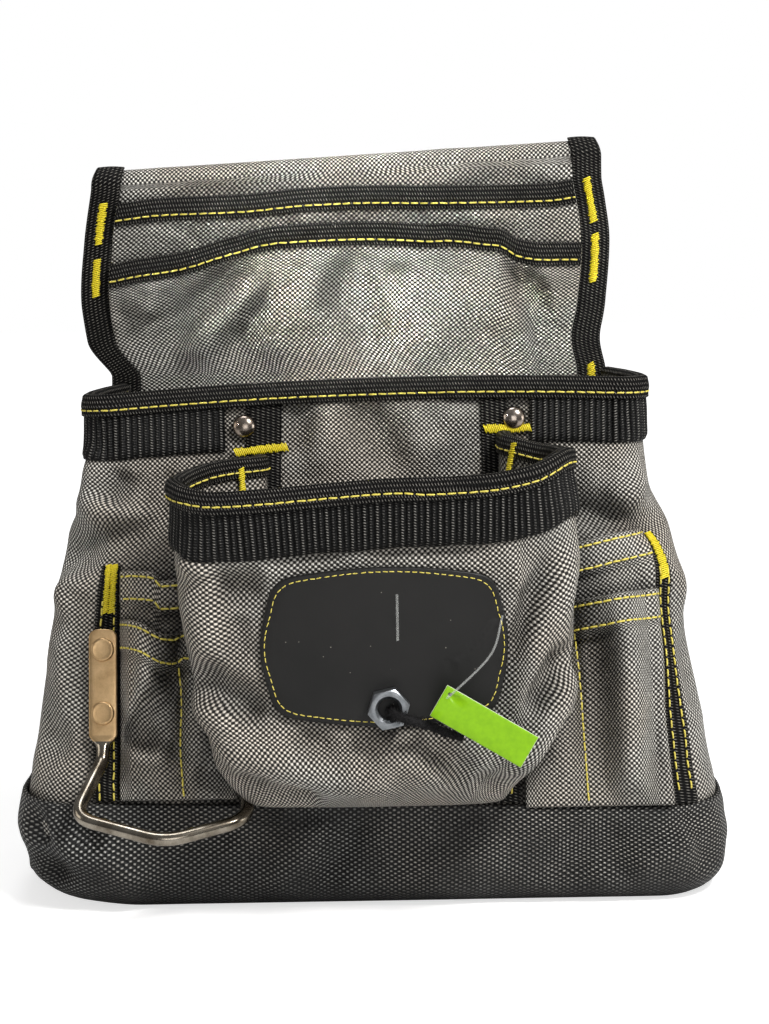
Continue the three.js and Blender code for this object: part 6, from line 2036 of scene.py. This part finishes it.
def stage():
    scene = bpy.context.scene
    scene.view_settings.view_transform = "Standard"
    world = bpy.data.worlds.new("world")
    scene.world = world
    world.use_nodes = True
    tree = world.node_tree
    make = node_maker(tree)
    background = tree.nodes["Background"]
    seen = seen_share(make)
    up = make("ShaderNodeSeparateXYZ", make("ShaderNodeTexCoord").outputs["Generated"]).outputs[2]
    sky = make("ShaderNodeMapRange", up, -0.2, 0.9, 0.35, 1.0).outputs[0]
    level = make("ShaderNodeMath", sky, 0.22, operation="MULTIPLY").outputs[0]
    strength = make("ShaderNodeMath", seen, level, operation="MAXIMUM")
    tree.links.new(strength.outputs[0], background.inputs["Strength"])
    background.inputs["Color"].default_value = (1, 1, 1, 1)

    mesh = bpy.data.meshes.new("floor")
    corners = [(x * FLOOR_HALF, y * FLOOR_HALF, 0) for x, y in ((-1, -1), (1, -1), (1, 1), (-1, 1))]
    mesh.from_pydata(corners, [], [(0, 1, 2, 3)])
    material = bpy.data.materials.new("floor_white")
    material.use_nodes = True
    tree = material.node_tree
    make = node_maker(tree)
    shader = tree.nodes["Principled BSDF"]
    shader.inputs["Roughness"].default_value = 0.9
    tone = make("ShaderNodeTexNoise")
    tone.inputs["Scale"].default_value = 3
    tint = make("ShaderNodeMapRange", tone.outputs[0], 0.3, 0.7, 0.78, 0.82).outputs[0]
    tree.links.new(tint, shader.inputs["Base Color"])
    seen = seen_share(make)
    glow = make("ShaderNodeEmission")
    spot = make("ShaderNodeTexCoord").outputs["Object"]
    distance = make("ShaderNodeVectorMath", spot, operation="LENGTH").outputs["Value"]
    white = make("ShaderNodeMapRange", distance, 0.2, 0.5, 0.66, 1.0).outputs[0]
    added = make("ShaderNodeMath", seen, white, operation="MULTIPLY").outputs[0]
    tree.links.new(added, glow.inputs["Strength"])
    both = make("ShaderNodeAddShader", shader.outputs[0], glow.outputs[0])
    tree.links.new(both.outputs[0], tree.nodes["Material Output"].inputs["Surface"])
    floor = place_object("floor", mesh, material, None, False)


# Each lamp's name, place, target, size, power, spread in degrees and colour
LAMPS = (
    ("key", (0.5, -0.6, 1.0), (0, 0, 0.17), 0.22, 11.6, 180, (1.0, 0.99, 0.97)),
    ("front", (0.1, -1.4, 0.45), (0, 0, 0.17), 0.6, 2.2, 180, (1.0, 0.99, 0.98)),
    ("left", (-1.0, -0.2, 0.4), (0, 0, 0.17), 0.5, 1.3, 180, (1.0, 0.95, 0.88)),
    ("right", (1.0, -0.35, 0.3), (0, 0, 0.17), 0.4, 2.0, 180, (1.0, 1.0, 0.98)),
    ("top", (-0.1, 0.02, 1.2), (0, 0, 0.17), 0.4, 2.6, 180, (0.97, 0.98, 1.0)),
    ("panel", (-0.55, -0.5, 0.56), (0, 0.03, 0.258), 0.08, 0.085, 8, (1.0, 0.99, 0.96)),
)


def lamps():
    for name, place, target, size, power, spread, colour in LAMPS:
        light = bpy.data.lights.new(name, "AREA")
        light.size = size
        light.energy = power
        light.spread = math.radians(spread)
        light.color = colour
        lamp = bpy.data.objects.new(name, light)
        bpy.context.scene.collection.objects.link(lamp)
        lamp.location = place
        aim = Vector(target) - lamp.location
        lamp.rotation_euler = aim.to_track_quat("-Z", "Y").to_euler()


main_wall()
yellow = main_rim()
rim_webbing(-1)
rim_webbing(1)
twin_rows, tack_rows = tapes()
yellow += twin_rows
yellow += tool_pockets()
base_tray()
panel_sheet()
tack_rows += panel_trim(-1) + panel_trim(1)
yellow.append(sleeve("upper_sleeve", UPPER_FOOT, upper_top, upper_stand))
yellow.append(sleeve("lower_sleeve", LOWER_FOOT, lower_top, lower_stand))
front_pocket()
pocket_rows, pocket_tacks = pocket_trims()
yellow += pocket_rows
tack_rows += pocket_tacks
yellow += patch()
rivets()
hammer_loop()
nut()
tack()
for number in range(1, 6):
    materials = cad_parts[f"magnet_{number}"].data.materials
    materials.clear()
    materials.append(magnet_nickel)
threads("seam_stitches", yellow, yellow_thread)
threads("bar_tacks", tack_rows, bright_thread)
stage()
lamps()
